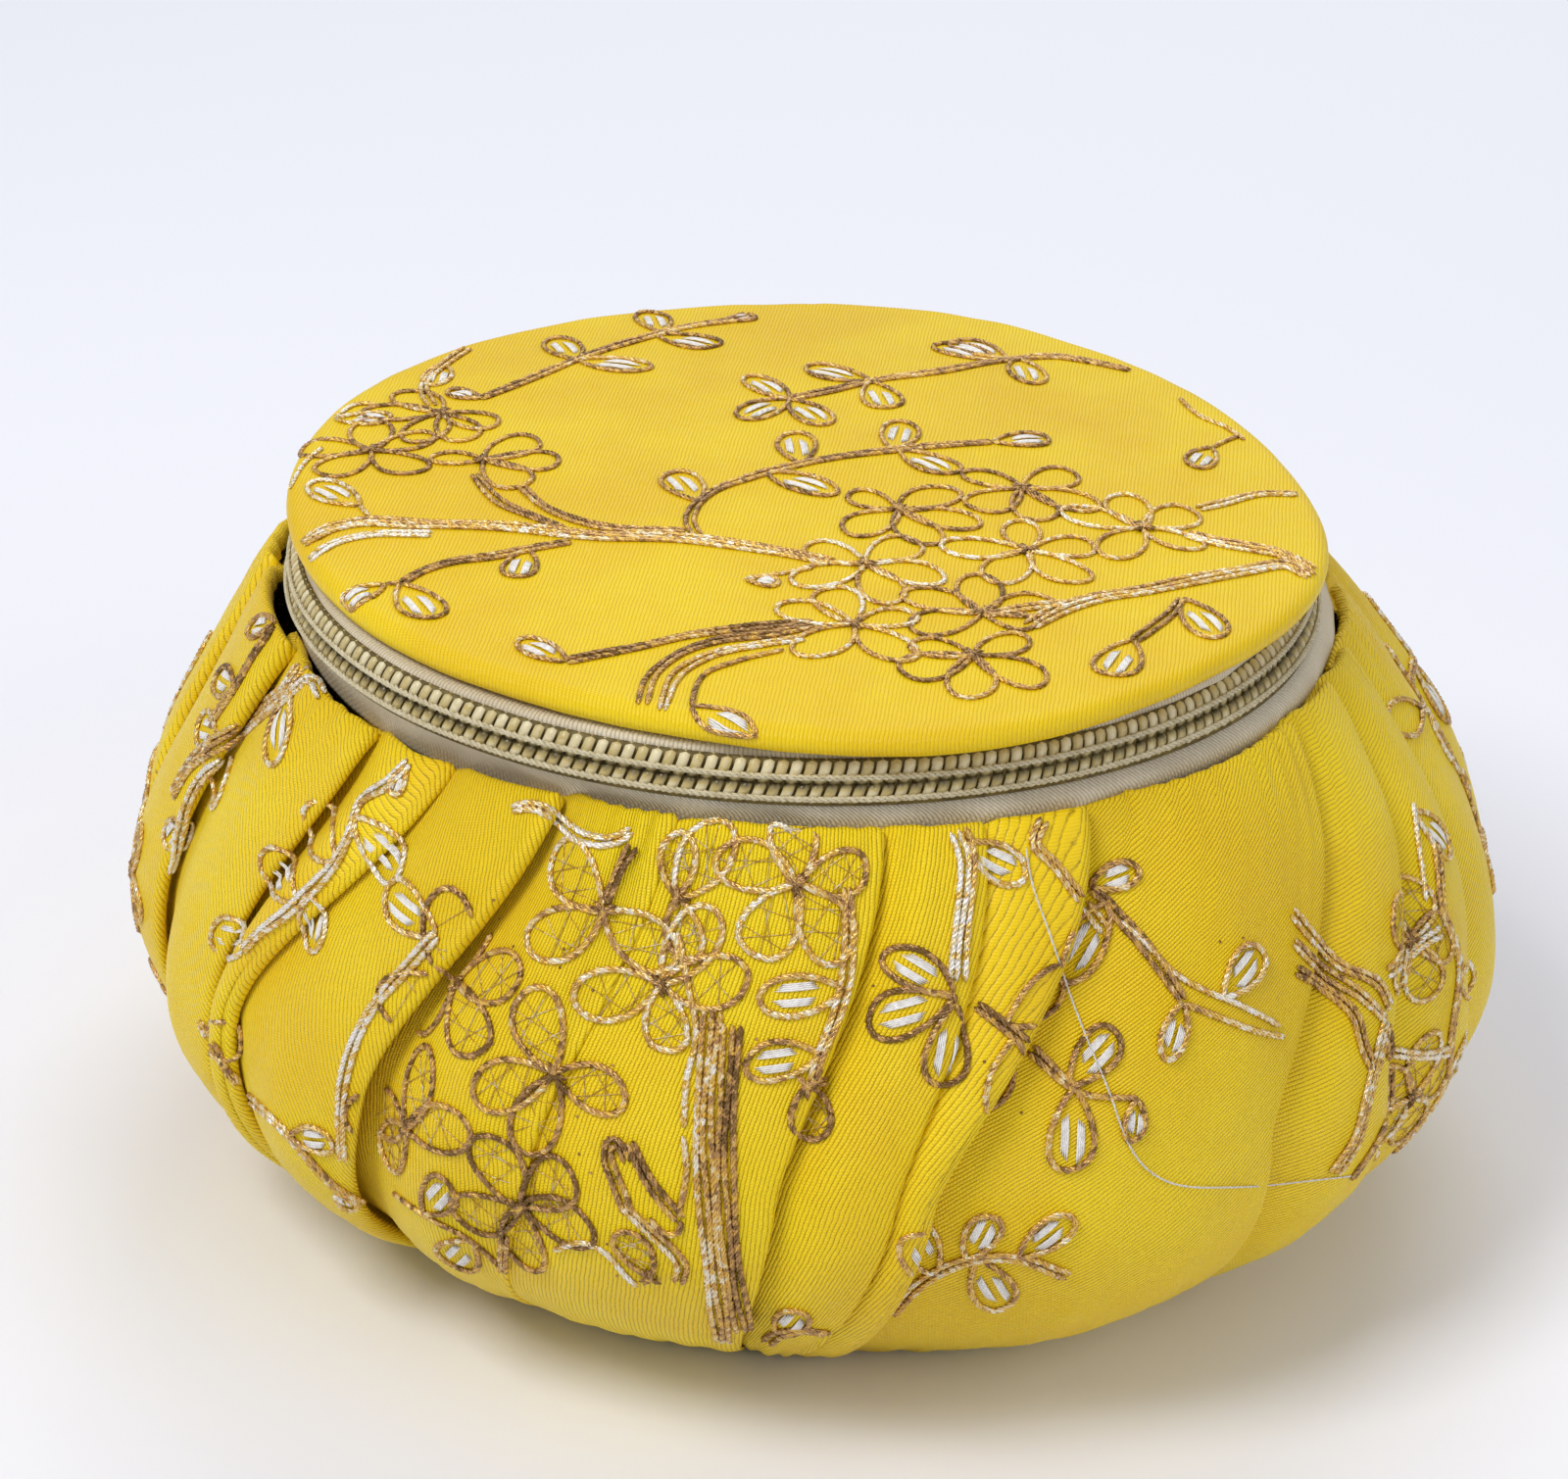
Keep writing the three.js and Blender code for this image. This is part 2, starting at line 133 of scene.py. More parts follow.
def swell_at(angle: np.ndarray, middle: float, width: float) -> np.ndarray:
    """Gives a smooth bump of height 1 round an angle, both in degrees."""
    away = (np.asarray(angle, float) - middle + 180) % 360 - 180
    return np.exp(-(away / width) ** 2)


def eased(share: np.ndarray) -> np.ndarray:
    """Gives a share that starts and stops half as fast as it runs."""
    return share * share * (3 - 2 * share) * 0.5 + share * 0.5


def run_along(line: np.ndarray) -> np.ndarray:
    """Gives the distance run along a line at each of its points."""
    return np.concatenate([[0.0], np.cumsum(np.linalg.norm(np.diff(line, axis=0), axis=1))])


def unit(ways: np.ndarray) -> np.ndarray:
    """Gives directions the length 1."""
    return ways / (np.linalg.norm(ways, axis=-1, keepdims=True) + 1e-12)


def mesh_piece(name: str, points: np.ndarray, faces: Iterable[Sequence[int]]) -> bpy.types.Object:
    """Makes a smooth-shaded object at the origin from points and faces.

    Args:
        name: the object's name.
        points: its points.
        faces: corner numbers of each face.

    Returns:
        The new object.
    """
    mesh = bpy.data.meshes.new(name)
    mesh.from_pydata(np.asarray(points).reshape(-1, 3).tolist(), [], list(faces))
    mesh.update()
    mesh.shade_smooth()
    piece = bpy.data.objects.new(name, mesh)
    bpy.context.scene.collection.objects.link(piece)
    return piece


def grid_faces(rows: int, columns: int, closed: bool) -> list[tuple[int, int, int, int]]:
    """Lists the quads of a grid of points whose rows may close on themselves.

    Args:
        rows: rows of points.
        columns: points in a row.
        closed: whether the last point of a row joins the first.

    Returns:
        Corner numbers, running down a column and then along the row.
    """
    faces = []
    for row in range(rows - 1):
        for column in range(columns if closed else columns - 1):
            across = (column + 1) % columns
            a, b = row * columns + column, row * columns + across
            faces.append((a, a + columns, b + columns, b))
    return faces


def store_uv(piece: bpy.types.Object, name: str, values: np.ndarray) -> None:
    """Stores a place on the cloth, in millimetres, for each corner of each face."""
    layer = piece.data.uv_layers.new(name=name)
    layer.data.foreach_set("uv", np.asarray(values, np.float32).reshape(-1))


def store_value(piece: bpy.types.Object, name: str, values: np.ndarray) -> None:
    """Stores one number for each point."""
    attribute = piece.data.attributes.new(name, "FLOAT", "POINT")
    attribute.data.foreach_set("value", np.asarray(values, np.float32).reshape(-1))


def apply_modifiers(piece: bpy.types.Object) -> None:
    """Applies every modifier of a piece in order.

    Args:
        piece: the object.
    """
    bpy.ops.object.select_all(action="DESELECT")
    piece.select_set(True)
    bpy.context.view_layer.objects.active = piece
    for modifier in list(piece.modifiers):
        bpy.ops.object.modifier_apply(modifier=modifier.name)
    piece.select_set(False)


def thicken(piece: bpy.types.Object, thickness: float) -> None:
    """Gives a sheet its thickness, half to each side.

    Args:
        piece: the sheet.
        thickness: in metres.
    """
    wall = piece.modifiers.new("cloth", "SOLIDIFY")
    wall.thickness = thickness
    wall.offset = 0.0
    wall.use_quality_normals = True
    apply_modifiers(piece)


def settle(piece: bpy.types.Object, slot: str, material: bpy.types.Material, *nodes: str) -> None:
    """Dresses a piece, hides the solids that it replaces and lets it ride with the bag.

    Args:
        piece: a finished object.
        slot: not used.
        material: what it wears.
        nodes: the solids that it replaces.
    """
    piece.data.materials.append(material)
    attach(piece, "root")
    if nodes:
        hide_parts(*nodes)
    LOG.info("%s: %d faces", piece.name, len(piece.data.polygons))


class Graph:
    """A node tree with short ways to add and link nodes."""

    def __init__(self, tree: bpy.types.NodeTree) -> None:
        """Keeps the tree that nodes are added to."""
        self.tree = tree

    def node(self, kind: str, inputs: Optional[dict] = None, **settings: object) -> bpy.types.Node:
        """Adds a node.

        Args:
            kind: the node's type name.
            inputs: sockets or values for its inputs, by name or number.
            settings: the node's own properties.

        Returns:
            The new node.
        """
        made = self.tree.nodes.new(kind)
        for name, value in settings.items():
            setattr(made, name, value)
        for name, value in (inputs or {}).items():
            self.feed(made.inputs[name], value)
        return made

    def feed(self, socket: Socket, value: Input) -> None:
        """Links a socket to an input, or sets the input's own value.

        Args:
            socket: the input.
            value: what it takes.
        """
        if isinstance(value, Socket):
            self.tree.links.new(value, socket)
        else:
            socket.default_value = value

    def dress(self, inputs: dict[str, Input]) -> None:
        """Feeds the material's shader by the names of its inputs."""
        for name, value in inputs.items():
            self.feed(self.tree.nodes["Principled BSDF"].inputs[name], value)

    def group(self, tree: bpy.types.NodeTree, inputs: dict[str, Input]) -> bpy.types.NodeOutputs:
        """Adds a node group and gives its outputs."""
        return self.node("ShaderNodeGroup", inputs, node_tree=tree).outputs

    def bump(self, strength: float, distance: float, height: Socket) -> Socket:
        """Turns a height into a normal."""
        inputs = {"Strength": strength, "Distance": distance, "Height": height}
        return self.node("ShaderNodeBump", inputs).outputs[0]

    def maths(self, operation: str, first: Input, second: Input = 0.0, clamp: bool = False) -> Socket:
        """Adds a Math node and gives its output."""
        made = self.node("ShaderNodeMath", {0: first, 1: second}, operation=operation, use_clamp=clamp)
        return made.outputs[0]

    def mix(self, factor: Input, first: Input, second: Input) -> Socket:
        """Mixes two colours by a factor."""
        inputs = {0: factor, 6: first, 7: second}
        return self.node("ShaderNodeMix", inputs, data_type="RGBA").outputs[2]

    def span(self, value: Socket, low: float, high: float, to_low: float = 0.0,
             to_high: float = 1.0) -> Socket:
        """Maps a range smoothly on to another."""
        inputs = {0: value, 1: low, 2: high, 3: to_low, 4: to_high}
        return self.node("ShaderNodeMapRange", inputs, interpolation_type="SMOOTHSTEP").outputs[0]

    def noise(self, vector: Socket, scale: Input, detail: float = 2.0, rough: float = 0.5) -> Socket:
        """Adds a noise and gives its value."""
        inputs = {"Vector": vector, "Scale": scale, "Detail": detail, "Roughness": rough}
        return self.node("ShaderNodeTexNoise", inputs).outputs["Fac"]


def start_material(name: str) -> tuple[bpy.types.Material, Graph, Socket]:
    """Starts a material.

    Args:
        name: the material's name.

    Returns:
        The material, its graph and the place on the object.
    """
    material = bpy.data.materials.new(name)
    material.use_nodes = True
    g = Graph(material.node_tree)
    return material, g, g.node("ShaderNodeTexCoord").outputs["Object"]


def new_group(name: str, inputs: dict[str, str], outputs: dict[str, str]) -> bpy.types.NodeTree:
    """Makes an empty node group.

    Args:
        name: the group's name.
        inputs: socket type by name.
        outputs: socket type by name.

    Returns:
        The group, with its sockets.
    """
    group = bpy.data.node_groups.new(name, "ShaderNodeTree")
    for way, sockets in (("INPUT", inputs), ("OUTPUT", outputs)):
        for label, kind in sockets.items():
            group.interface.new_socket(label, in_out=way, socket_type=f"NodeSocket{kind}")
    return group


def ribbed_weave() -> bpy.types.NodeTree:
    """Builds the group for a ribbed plain weave: fine cords with picks across them, and the valleys' painted
    shade.

    Returns:
        The group.
    """
    group = new_group(
        "ribbed_weave",
        {"Vector": "Vector", "Rib": "Float", "Pick": "Float", "Waver": "Float"},
        {"Height": "Float", "Gap": "Float", "Lustre": "Float"},
    )
    g = Graph(group)
    source = g.node("NodeGroupInput").outputs
    drift = g.noise(source["Vector"], 0.35, 3.0, 0.6)
    across = g.node("ShaderNodeSeparateXYZ", {0: source["Vector"]}).outputs
    waver = g.maths("MULTIPLY", g.maths("SUBTRACT", drift, 0.5), source["Waver"])
    rib_place = g.maths("DIVIDE", g.maths("ADD", across[0], waver), source["Rib"])
    row = g.maths("FLOOR", rib_place)
    rib = g.maths("ABSOLUTE", g.maths("SINE", g.maths("MULTIPLY", rib_place, math.pi)))
    stagger = g.maths("MULTIPLY", row, 0.5)
    pick_place = g.maths("ADD", g.maths("DIVIDE", across[1], source["Pick"]), stagger)
    pick = g.maths("ABSOLUTE", g.maths("SINE", g.maths("MULTIPLY", pick_place, math.pi)))
    crown = g.maths("POWER", rib, 0.7)
    height = g.maths("MULTIPLY", crown, g.maths("ADD", g.maths("MULTIPLY", pick, 0.4), 0.6))
    # The valleys between cords: the mask of the painted shade in them.
    valley = g.span(rib, 0.0, 0.55, 1.0, 0.0)
    dashes = g.span(g.noise(source["Vector"], 1.6, 2.0, 0.7), 0.3, 0.7, 0.35, 1.0)
    broken = g.maths("MULTIPLY", dashes, g.maths("ADD", g.maths("MULTIPLY", pick, -0.45), 1.0))
    slub = g.span(g.noise(source["Vector"], 0.9, 4.0, 0.7), 0.35, 0.75)
    g.node("NodeGroupOutput", {
        "Height": height, "Gap": g.maths("MULTIPLY", valley, broken), "Lustre": slub,
    })
    return group


def tone_drift() -> bpy.types.NodeTree:
    """Builds the group for a colour that drifts between a pale and a deep shade.

    Returns:
        The group.
    """
    group = new_group(
        "tone_drift",
        {"Vector": "Vector", "Size": "Float", "Pale": "Color", "Deep": "Color"},
        {"Color": "Color", "Mask": "Float"},
    )
    g = Graph(group)
    source = g.node("NodeGroupInput").outputs
    mask = g.span(g.noise(source["Vector"], source["Size"], 3.0, 0.6), 0.3, 0.7)
    g.node("NodeGroupOutput", {"Color": g.mix(mask, source["Pale"], source["Deep"]), "Mask": mask})
    return group


def thread_lay() -> bpy.types.NodeTree:
    """Builds the group for the fine strips that wind along a thread, and the grooves' painted shade.

    Returns:
        The group.
    """
    group = new_group(
        "thread_lay",
        {"Lay": "Vector", "Strips": "Float", "Rise": "Float"},
        {"Height": "Float", "Gap": "Float"},
    )
    g = Graph(group)
    source = g.node("NodeGroupInput").outputs
    lay = g.node("ShaderNodeSeparateXYZ", {0: source["Lay"]}).outputs
    turn = g.maths("DIVIDE", g.maths("ARCTAN2", lay[1], lay[0]), 2 * math.pi)
    windings = g.maths("MULTIPLY", turn, source["Strips"])
    wound = g.maths("ADD", windings, g.maths("DIVIDE", lay[2], source["Rise"]))
    ridge = g.maths("ABSOLUTE", g.maths("SINE", g.maths("MULTIPLY", wound, math.pi)))
    g.node("NodeGroupOutput", {"Height": ridge, "Gap": g.span(ridge, 0.0, 0.5, 1.0, 0.0)})
    return group


def fine_fibre() -> bpy.types.NodeTree:
    """Builds the group for the fibres and glints of a thread.

    Returns:
        The group.
    """
    group = new_group(
        "fine_fibre",
        {"Vector": "Vector", "Size": "Float"},
        {"Height": "Float", "Glint": "Float"},
    )
    g = Graph(group)
    source = g.node("NodeGroupInput").outputs
    grain = g.noise(source["Vector"], source["Size"], 2.0, 0.7)
    flake_size = g.maths("MULTIPLY", source["Size"], 0.6)
    flake = g.node("ShaderNodeTexVoronoi", {"Vector": source["Vector"], "Scale": flake_size})
    shine = g.node("ShaderNodeSeparateColor", {0: flake.outputs["Color"]}).outputs[0]
    g.node("NodeGroupOutput", {"Height": grain, "Glint": shine})
    return group


@dataclass(frozen=True)
class Shades:
    """The pale and deep colours of a woven cloth, and the painted shade in the valleys between its ribs."""

    pale: Colour
    deep: Colour
    gap: Colour


@dataclass(frozen=True)
class WovenFinish:
    """A woven cloth: its shades, the pitch of its cords in millimetres and its gloss."""

    name: str
    shades: Shades
    rib: float
    pick: float
    relief: float
    valley_shade_share: float
    roughness: float
    sheen: float
    uses_uv: bool
    drift_size: float = 38.0
    turn: float = 0.0

    def build(self, groups: dict[str, bpy.types.NodeTree]) -> bpy.types.Material:
        """Builds the material.

        Args:
            groups: the shared node groups, by name.

        Returns:
            A cloth material with woven colour, roughness and relief.
        """
        material, g, place = start_material(self.name)
        if self.uses_uv:
            cloth = g.node("ShaderNodeUVMap", uv_map="weave").outputs[0]
        else:
            cloth = g.node("ShaderNodeMapping", {
                "Vector": place,
                "Rotation": (0.0, 0.0, math.radians(self.turn)),
                "Scale": (1 / MM, 1 / MM, 1 / MM),
            }).outputs[0]
        drift = g.group(groups["tone_drift"], {
            "Vector": place, "Size": self.drift_size,
            "Pale": (*self.shades.pale, 1), "Deep": (*self.shades.deep, 1),
        })
        weave = g.group(groups["ribbed_weave"], {
            "Vector": cloth, "Rib": self.rib, "Pick": self.pick, "Waver": self.rib * 0.9,
        })
        # Painted shade: the valleys between ribs darken towards the valley colour.
        gap = g.maths("MULTIPLY", weave["Gap"], self.valley_shade_share)
        g.dress({
            "Base Color": g.mix(gap, drift["Color"], (*self.shades.gap, 1)),
            "Roughness": g.span(weave["Lustre"], 0.0, 1.0, self.roughness - 0.06, self.roughness + 0.1),
            "Normal": g.bump(1.0, self.relief * MM, weave["Height"]),
            "Sheen Weight": self.sheen,
            "Sheen Roughness": 0.45,
            "Sheen Tint": (1.0, 0.93, 0.62, 1.0),
            "Specular IOR Level": 0.32,
        })
        return material


@dataclass(frozen=True)
class ThreadFinish:
    """Thread whose shade follows the piece's tone attribute, between the ramp's stops."""

    name: str
    stops: tuple[tuple[float, Colour], ...]
    metallic: float
    roughness: float
    scatter: float
    grain: float = 2600.0
    strips: float = 3.0
    rise: float = 0.9
    # depth: how dark the painted shade in the grooves between the strips is.
    depth: float = 0.5

    def build(self, groups: dict[str, bpy.types.NodeTree]) -> bpy.types.Material:
        """Builds the material.

        Args:
            groups: the shared node groups, by name.

        Returns:
            A thread material with foil glints, painted shade between its strips and fibre relief.
        """
        material, g, place = start_material(self.name)
        fibre = g.group(groups["fine_fibre"], {"Vector": place, "Size": self.grain})
        tone = g.node("ShaderNodeAttribute", attribute_name="tone").outputs["Fac"]
        spread = g.maths("MULTIPLY", g.maths("SUBTRACT", fibre["Glint"], 0.5), self.scatter)
        ramp = g.node("ShaderNodeValToRGB", {0: g.maths("ADD", tone, spread, clamp=True)})
        elements = ramp.color_ramp.elements
        while len(elements) < len(self.stops):
            elements.new(1.0)
        for element, (place_on_ramp, colour) in zip(elements, self.stops):
            element.position = place_on_ramp
            element.color = (*colour, 1.0)
        lay = g.node("ShaderNodeAttribute", attribute_name="lay").outputs["Vector"]
        strip = g.group(groups["thread_lay"], {"Lay": lay, "Strips": self.strips, "Rise": self.rise})
        # Painted shade: the grooves between the wound strips darken towards the ramp's last stop.
        shade = g.maths("MULTIPLY", strip["Gap"], self.depth)
        relief = g.maths("ADD", g.maths("MULTIPLY", fibre["Height"], 0.5), strip["Height"])
        g.dress({
            "Base Color": g.mix(shade, ramp.outputs[0], (*self.stops[-1][1], 1)),
            "Roughness": g.span(fibre["Glint"], 0.0, 1.0, self.roughness + 0.12, self.roughness - 0.1),
            "Metallic": self.metallic,
            "Normal": g.bump(0.8, 0.06 * MM, relief),
        })
        return material


@dataclass(frozen=True)
class HardFinish:
    """A moulded or metal finish with a drifting shade and roughness."""

    name: str
    pale: Colour
    deep: Colour
    metallic: float
    roughness: float
    drift_size: float = 900.0

    def build(self, groups: dict[str, bpy.types.NodeTree]) -> bpy.types.Material:
        """Builds the material from the shared groups, and returns it.

        Args:
            groups: the shared node groups, by name.

        Returns:
            The material.
        """
        material, g, place = start_material(self.name)
        shades = {"Pale": (*self.pale, 1), "Deep": (*self.deep, 1)}
        drift = g.group(groups["tone_drift"], {"Vector": place, "Size": self.drift_size, **shades})
        g.dress({
            "Base Color": drift["Color"],
            "Roughness": g.span(drift["Mask"], 0.0, 1.0, self.roughness - 0.08, self.roughness + 0.1),
            "Metallic": self.metallic,
        })
        return material


class Finishes:
    """Every material of the bag, built once from the shared node groups."""

    def __init__(self) -> None:
        """Builds the groups and the materials."""
        groups = {
            "ribbed_weave": ribbed_weave(),
            "tone_drift": tone_drift(),
            "fine_fibre": fine_fibre(),
            "thread_lay": thread_lay(),
        }
        # The third colour of each cloth is the painted shade in the valleys between its ribs.
        yellow = Shades(linear(250, 219, 10), linear(242, 202, 2), linear(122, 92, 2))
        satin = Shades(linear(238, 206, 6), linear(230, 190, 2), linear(164, 126, 4))
        beige = Shades(linear(228, 217, 192), linear(210, 197, 170), linear(128, 112, 86))
        self.brocade = WovenFinish(
            "brocade", yellow, rib=0.47, pick=0.34, relief=0.14, valley_shade_share=0.95,
            roughness=0.42, sheen=0.05, uses_uv=True,
        ).build(groups)
        self.satin = WovenFinish(
            "lid_satin", satin, rib=0.40, pick=0.30, relief=0.07, valley_shade_share=0.42,
            roughness=0.46, sheen=0.0, uses_uv=False, turn=6.0,
        ).build(groups)
        self.base_cloth = WovenFinish(
            "base_cloth", yellow, rib=0.47, pick=0.34, relief=0.08, valley_shade_share=0.5,
            roughness=0.5, sheen=0.1, uses_uv=False,
        ).build(groups)
        self.tape = WovenFinish(
            "zip_tape", beige, rib=0.46, pick=0.62, relief=0.13, valley_shade_share=0.55,
            roughness=0.75, sheen=0.1, uses_uv=True,
        ).build(groups)
        # The coil ramp's dark end is the painted shade where the two rows interlock.
        self.coil = ThreadFinish(
            "zip_coil",
            ((0.0, linear(230, 220, 184)), (0.4, linear(192, 172, 112)), (1.0, linear(62, 50, 18))),
            metallic=0.0, roughness=0.34, scatter=0.12, depth=0.0,
        ).build(groups)
        # Painted shade: a dark olive strip behind the coil's turns stands for the shade between them.
        self.coil_shade_strip = HardFinish(
            "coil_shade_strip", linear(118, 102, 50), linear(82, 68, 28), 0.0, 0.7,
        ).build(groups)
        self.brass = HardFinish(
            "slider_brass", linear(176, 150, 92), linear(138, 112, 60), 1.0, 0.34,
        ).build(groups)
        self.foil = ThreadFinish(
            "foil_thread",
            (
                (0.00, linear(252, 248, 240)), (0.22, linear(246, 232, 196)),
                (0.45, linear(236, 192, 84)), (0.72, linear(200, 156, 104)),
                (1.00, linear(128, 96, 52)),
            ),
            metallic=0.55, roughness=0.30, scatter=0.55, depth=0.42,
        ).build(groups)
        self.floss = ThreadFinish(
            "white_floss",
            ((0.0, linear(250, 248, 244)), (1.0, linear(214, 204, 190))),
            metallic=0.0, roughness=0.38, scatter=0.5,
        ).build(groups)
        self.zip_thread = ThreadFinish(
            "zip_stitching",
            ((0.0, linear(224, 214, 184)), (0.5, linear(206, 194, 158)), (1.0, linear(150, 134, 96))),
            metallic=0.0, roughness=0.6, scatter=0.4, depth=0.35,
        ).build(groups)


@dataclass
class Viewpoint:
    """The reference camera, fitted to the turns of the zip's coil and the lid's outline."""

    eye: tuple[float, float, float] = (-0.0053, -0.41468, 0.25575)
    pitch: float = 26.858
    yaw: float = 0.116
    roll: float = 2.4
    focal_px: float = 4260.0
    width_px: float = 1600.0
    height_px: float = 1509.0
    sensor_mm: float = 36.0

    def axes(self) -> tuple[Vector, Vector, Vector]:
        """Gives the camera's right, up and forward directions.

        Returns:
            Three unit vectors.
        """
        pitch, yaw, roll = (math.radians(a) for a in (self.pitch, self.yaw, self.roll))
        forward = Vector((
            math.sin(yaw) * math.cos(pitch), math.cos(yaw) * math.cos(pitch), -math.sin(pitch),
        ))
        level = Vector((math.cos(yaw), -math.sin(yaw), 0.0))
        upright = level.cross(forward)
        right = level * math.cos(roll) + upright * math.sin(roll)
        up = upright * math.cos(roll) - level * math.sin(roll)
        return right, up, forward

    def ray(self, x_px: float, y_px: float) -> Vector:
        """Gives the direction in which a pixel of the reference view looks.

        Args:
            x_px: pixels from the left.
            y_px: pixels from the top.

        Returns:
            A unit vector.
        """
        right, up, forward = self.axes()
        sideways = (x_px - self.width_px / 2) / self.focal_px
        upwards = (self.height_px / 2 - y_px) / self.focal_px
        return (forward + right * sideways + up * upwards).normalized()

    def add_camera(self) -> None:
        """Adds the camera and makes it the scene's own."""
        right, up, forward = self.axes()
        data = bpy.data.cameras.new("camera")
        data.sensor_width = self.sensor_mm
        data.lens = self.sensor_mm * self.focal_px / self.width_px
        data.clip_start = 0.01
        data.clip_end = 20.0
        camera = bpy.data.objects.new("camera", data)
        turn = Matrix((right, up, -forward)).transposed().to_4x4()
        camera.matrix_world = Matrix.Translation(self.eye) @ turn
        bpy.context.scene.collection.objects.link(camera)
        bpy.context.scene.camera = camera


@dataclass(frozen=True)
class Softbox:
    """One soft square light: where it hangs, what it looks at, its side and its power."""

    name: str
    place: tuple[float, float, float]
    side: float
    power: float
    colour: Colour

    def hang(self, target: Vector) -> None:
        """Hangs the light and turns it to the target.

        Args:
            target: the point that it looks at.
        """
        data = bpy.data.lights.new(self.name, "AREA")
        data.size = self.side
        data.energy = self.power
        data.color = self.colour
        lamp = bpy.data.objects.new(self.name, data)
        lamp.location = self.place
        lamp.rotation_euler = (target - Vector(self.place)).to_track_quat("-Z", "Y").to_euler()
        bpy.context.scene.collection.objects.link(lamp)


@dataclass
class Studio:
    """A plain pale floor under soft light."""

    floor_side: float = 8.0
    world_strength: float = 0.44
    world_colour: Colour = (0.90, 0.92, 1.0)
    lights: tuple[Softbox, ...] = (
        Softbox("key", (-0.42, -0.35, 0.75), 0.35, 4.5, (1.0, 0.985, 0.96)),
        Softbox("fill", (0.75, -0.55, 0.55), 0.7, 2.2, (1.0, 0.98, 0.97)),
        Softbox("back", (0.15, 0.75, 0.85), 0.7, 4.0, (0.97, 0.98, 1.0)),
    )

    def set_up(self, target: Vector) -> None:
        """Adds the floor, the lights and the surrounding light.

        Args:
            target: the point that the lights look at.
        """
        bpy.ops.object.select_all(action="DESELECT")
        bpy.ops.mesh.primitive_plane_add(size=self.floor_side, location=(0, 0, 0))
        floor = bpy.context.active_object
        floor.name = "floor"
        material = bpy.data.materials.new("floor")
        material.use_nodes = True
        shader = material.node_tree.nodes["Principled BSDF"]
        shader.inputs["Base Color"].default_value = (0.86, 0.87, 0.92, 1.0)
        shader.inputs["Roughness"].default_value = 0.8
        floor.data.materials.append(material)
        for light in self.lights:
            light.hang(target)
        world = bpy.data.worlds.new("studio")
        world.use_nodes = True
        background = world.node_tree.nodes["Background"]
        background.inputs["Color"].default_value = (*self.world_colour, 1.0)
        background.inputs["Strength"].default_value = self.world_strength
        bpy.context.scene.world = world
        bpy.context.scene.view_settings.view_transform = "Standard"


@dataclass(frozen=True)
class Section:
    """A level of the body wall, in shares of the seam's height, the swell, the fold and the shift."""

    height: float
    swell: float
    fold: float
    shift: float


@dataclass(frozen=True)
class Pleat:
    """A folded edge: its angles at the seam, half-way and at the foot, its depth, and then
    the puff and the rib angle of the panel on its right."""

    top: float
    middle: float
    foot: float
    depth: float
    puff: float
    rib: float


SECTIONS = (
    Section(1.000, 0.000, 0.45, 1.00),
    Section(0.965, 0.115, 0.72, 0.92),
    Section(0.905, 0.278, 0.95, 0.75),
    Section(0.800, 0.540, 1.00, 0.45),
    Section(0.680, 0.790, 1.00, 0.18),
    Section(0.560, 0.949, 1.00, 0.04),
    Section(0.440, 1.000, 1.00, 0.00),
    Section(0.320, 0.929, 1.00, 0.00),
    Section(0.205, 0.737, 0.95, 0.00),
    Section(0.110, 0.458, 0.85, 0.00),
    Section(0.040, 0.176, 0.60, 0.00),
    Section(0.000, 0.000, 0.42, 0.00),
)

PLEATS = (
    Pleat(-50, -58, -61, 1.15, 0.35, -35),
    Pleat(-38, -54, -57, 0.70, 0.20, -35),
    Pleat(-25, -38, -45, 1.25, 0.30, -12),
    Pleat(-13, -22, -29, 0.35, 0.15, -3),
    Pleat(7, -3, -7, 0.85, 0.15, 8),
    Pleat(17, 6, -1, 0.45, 0.10, 10),
    Pleat(28, 9, 3, 0.95, 0.35, 52),
    Pleat(58, 38, 38, 1.00, 0.15, 78),
    Pleat(69, 52, 54, 1.00, 0.25, 70),
    Pleat(78, 67, 68, 0.80, 0.30, 60),
    Pleat(94, 84, 83, 0.90, 0.25, 20),
    Pleat(109, 101, 99, 1.10, 0.30, -10),
    Pleat(126, 117, 118, 0.75, 0.20, 5),
    Pleat(142, 136, 134, 1.05, 0.30, 25),
    Pleat(158, 152, 155, 0.90, 0.25, -5),
    Pleat(173, 171, 169, 0.70, 0.20, 12),
    Pleat(189, 187, 188, 1.10, 0.30, -18),
    Pleat(205, 206, 204, 0.80, 0.25, 4),
    Pleat(221, 224, 223, 1.05, 0.30, 16),
    Pleat(238, 242, 244, 0.85, 0.20, -8),
    Pleat(254, 257, 259, 1.05, 0.30, -20),
    Pleat(271, 271, 270, 0.75, 0.25, -30),
    Pleat(290, 287, 284, 0.90, 0.30, -40),
)


class Anchor(Enum):
    """What a fold point is placed from, across one panel."""

    LEFT_TUCK = 0
    PANEL = 1
    RIGHT_EDGE = 2
    RIGHT_TUCK = 3


@dataclass(frozen=True)
class FoldPoint:
    """A guide point of the folded cloth. The place is a share of the lap or the panel, or
    millimetres past the right edge, and the depth a share of the fold there."""

    anchor: Anchor
    place: float
    depth: float
    samples: int


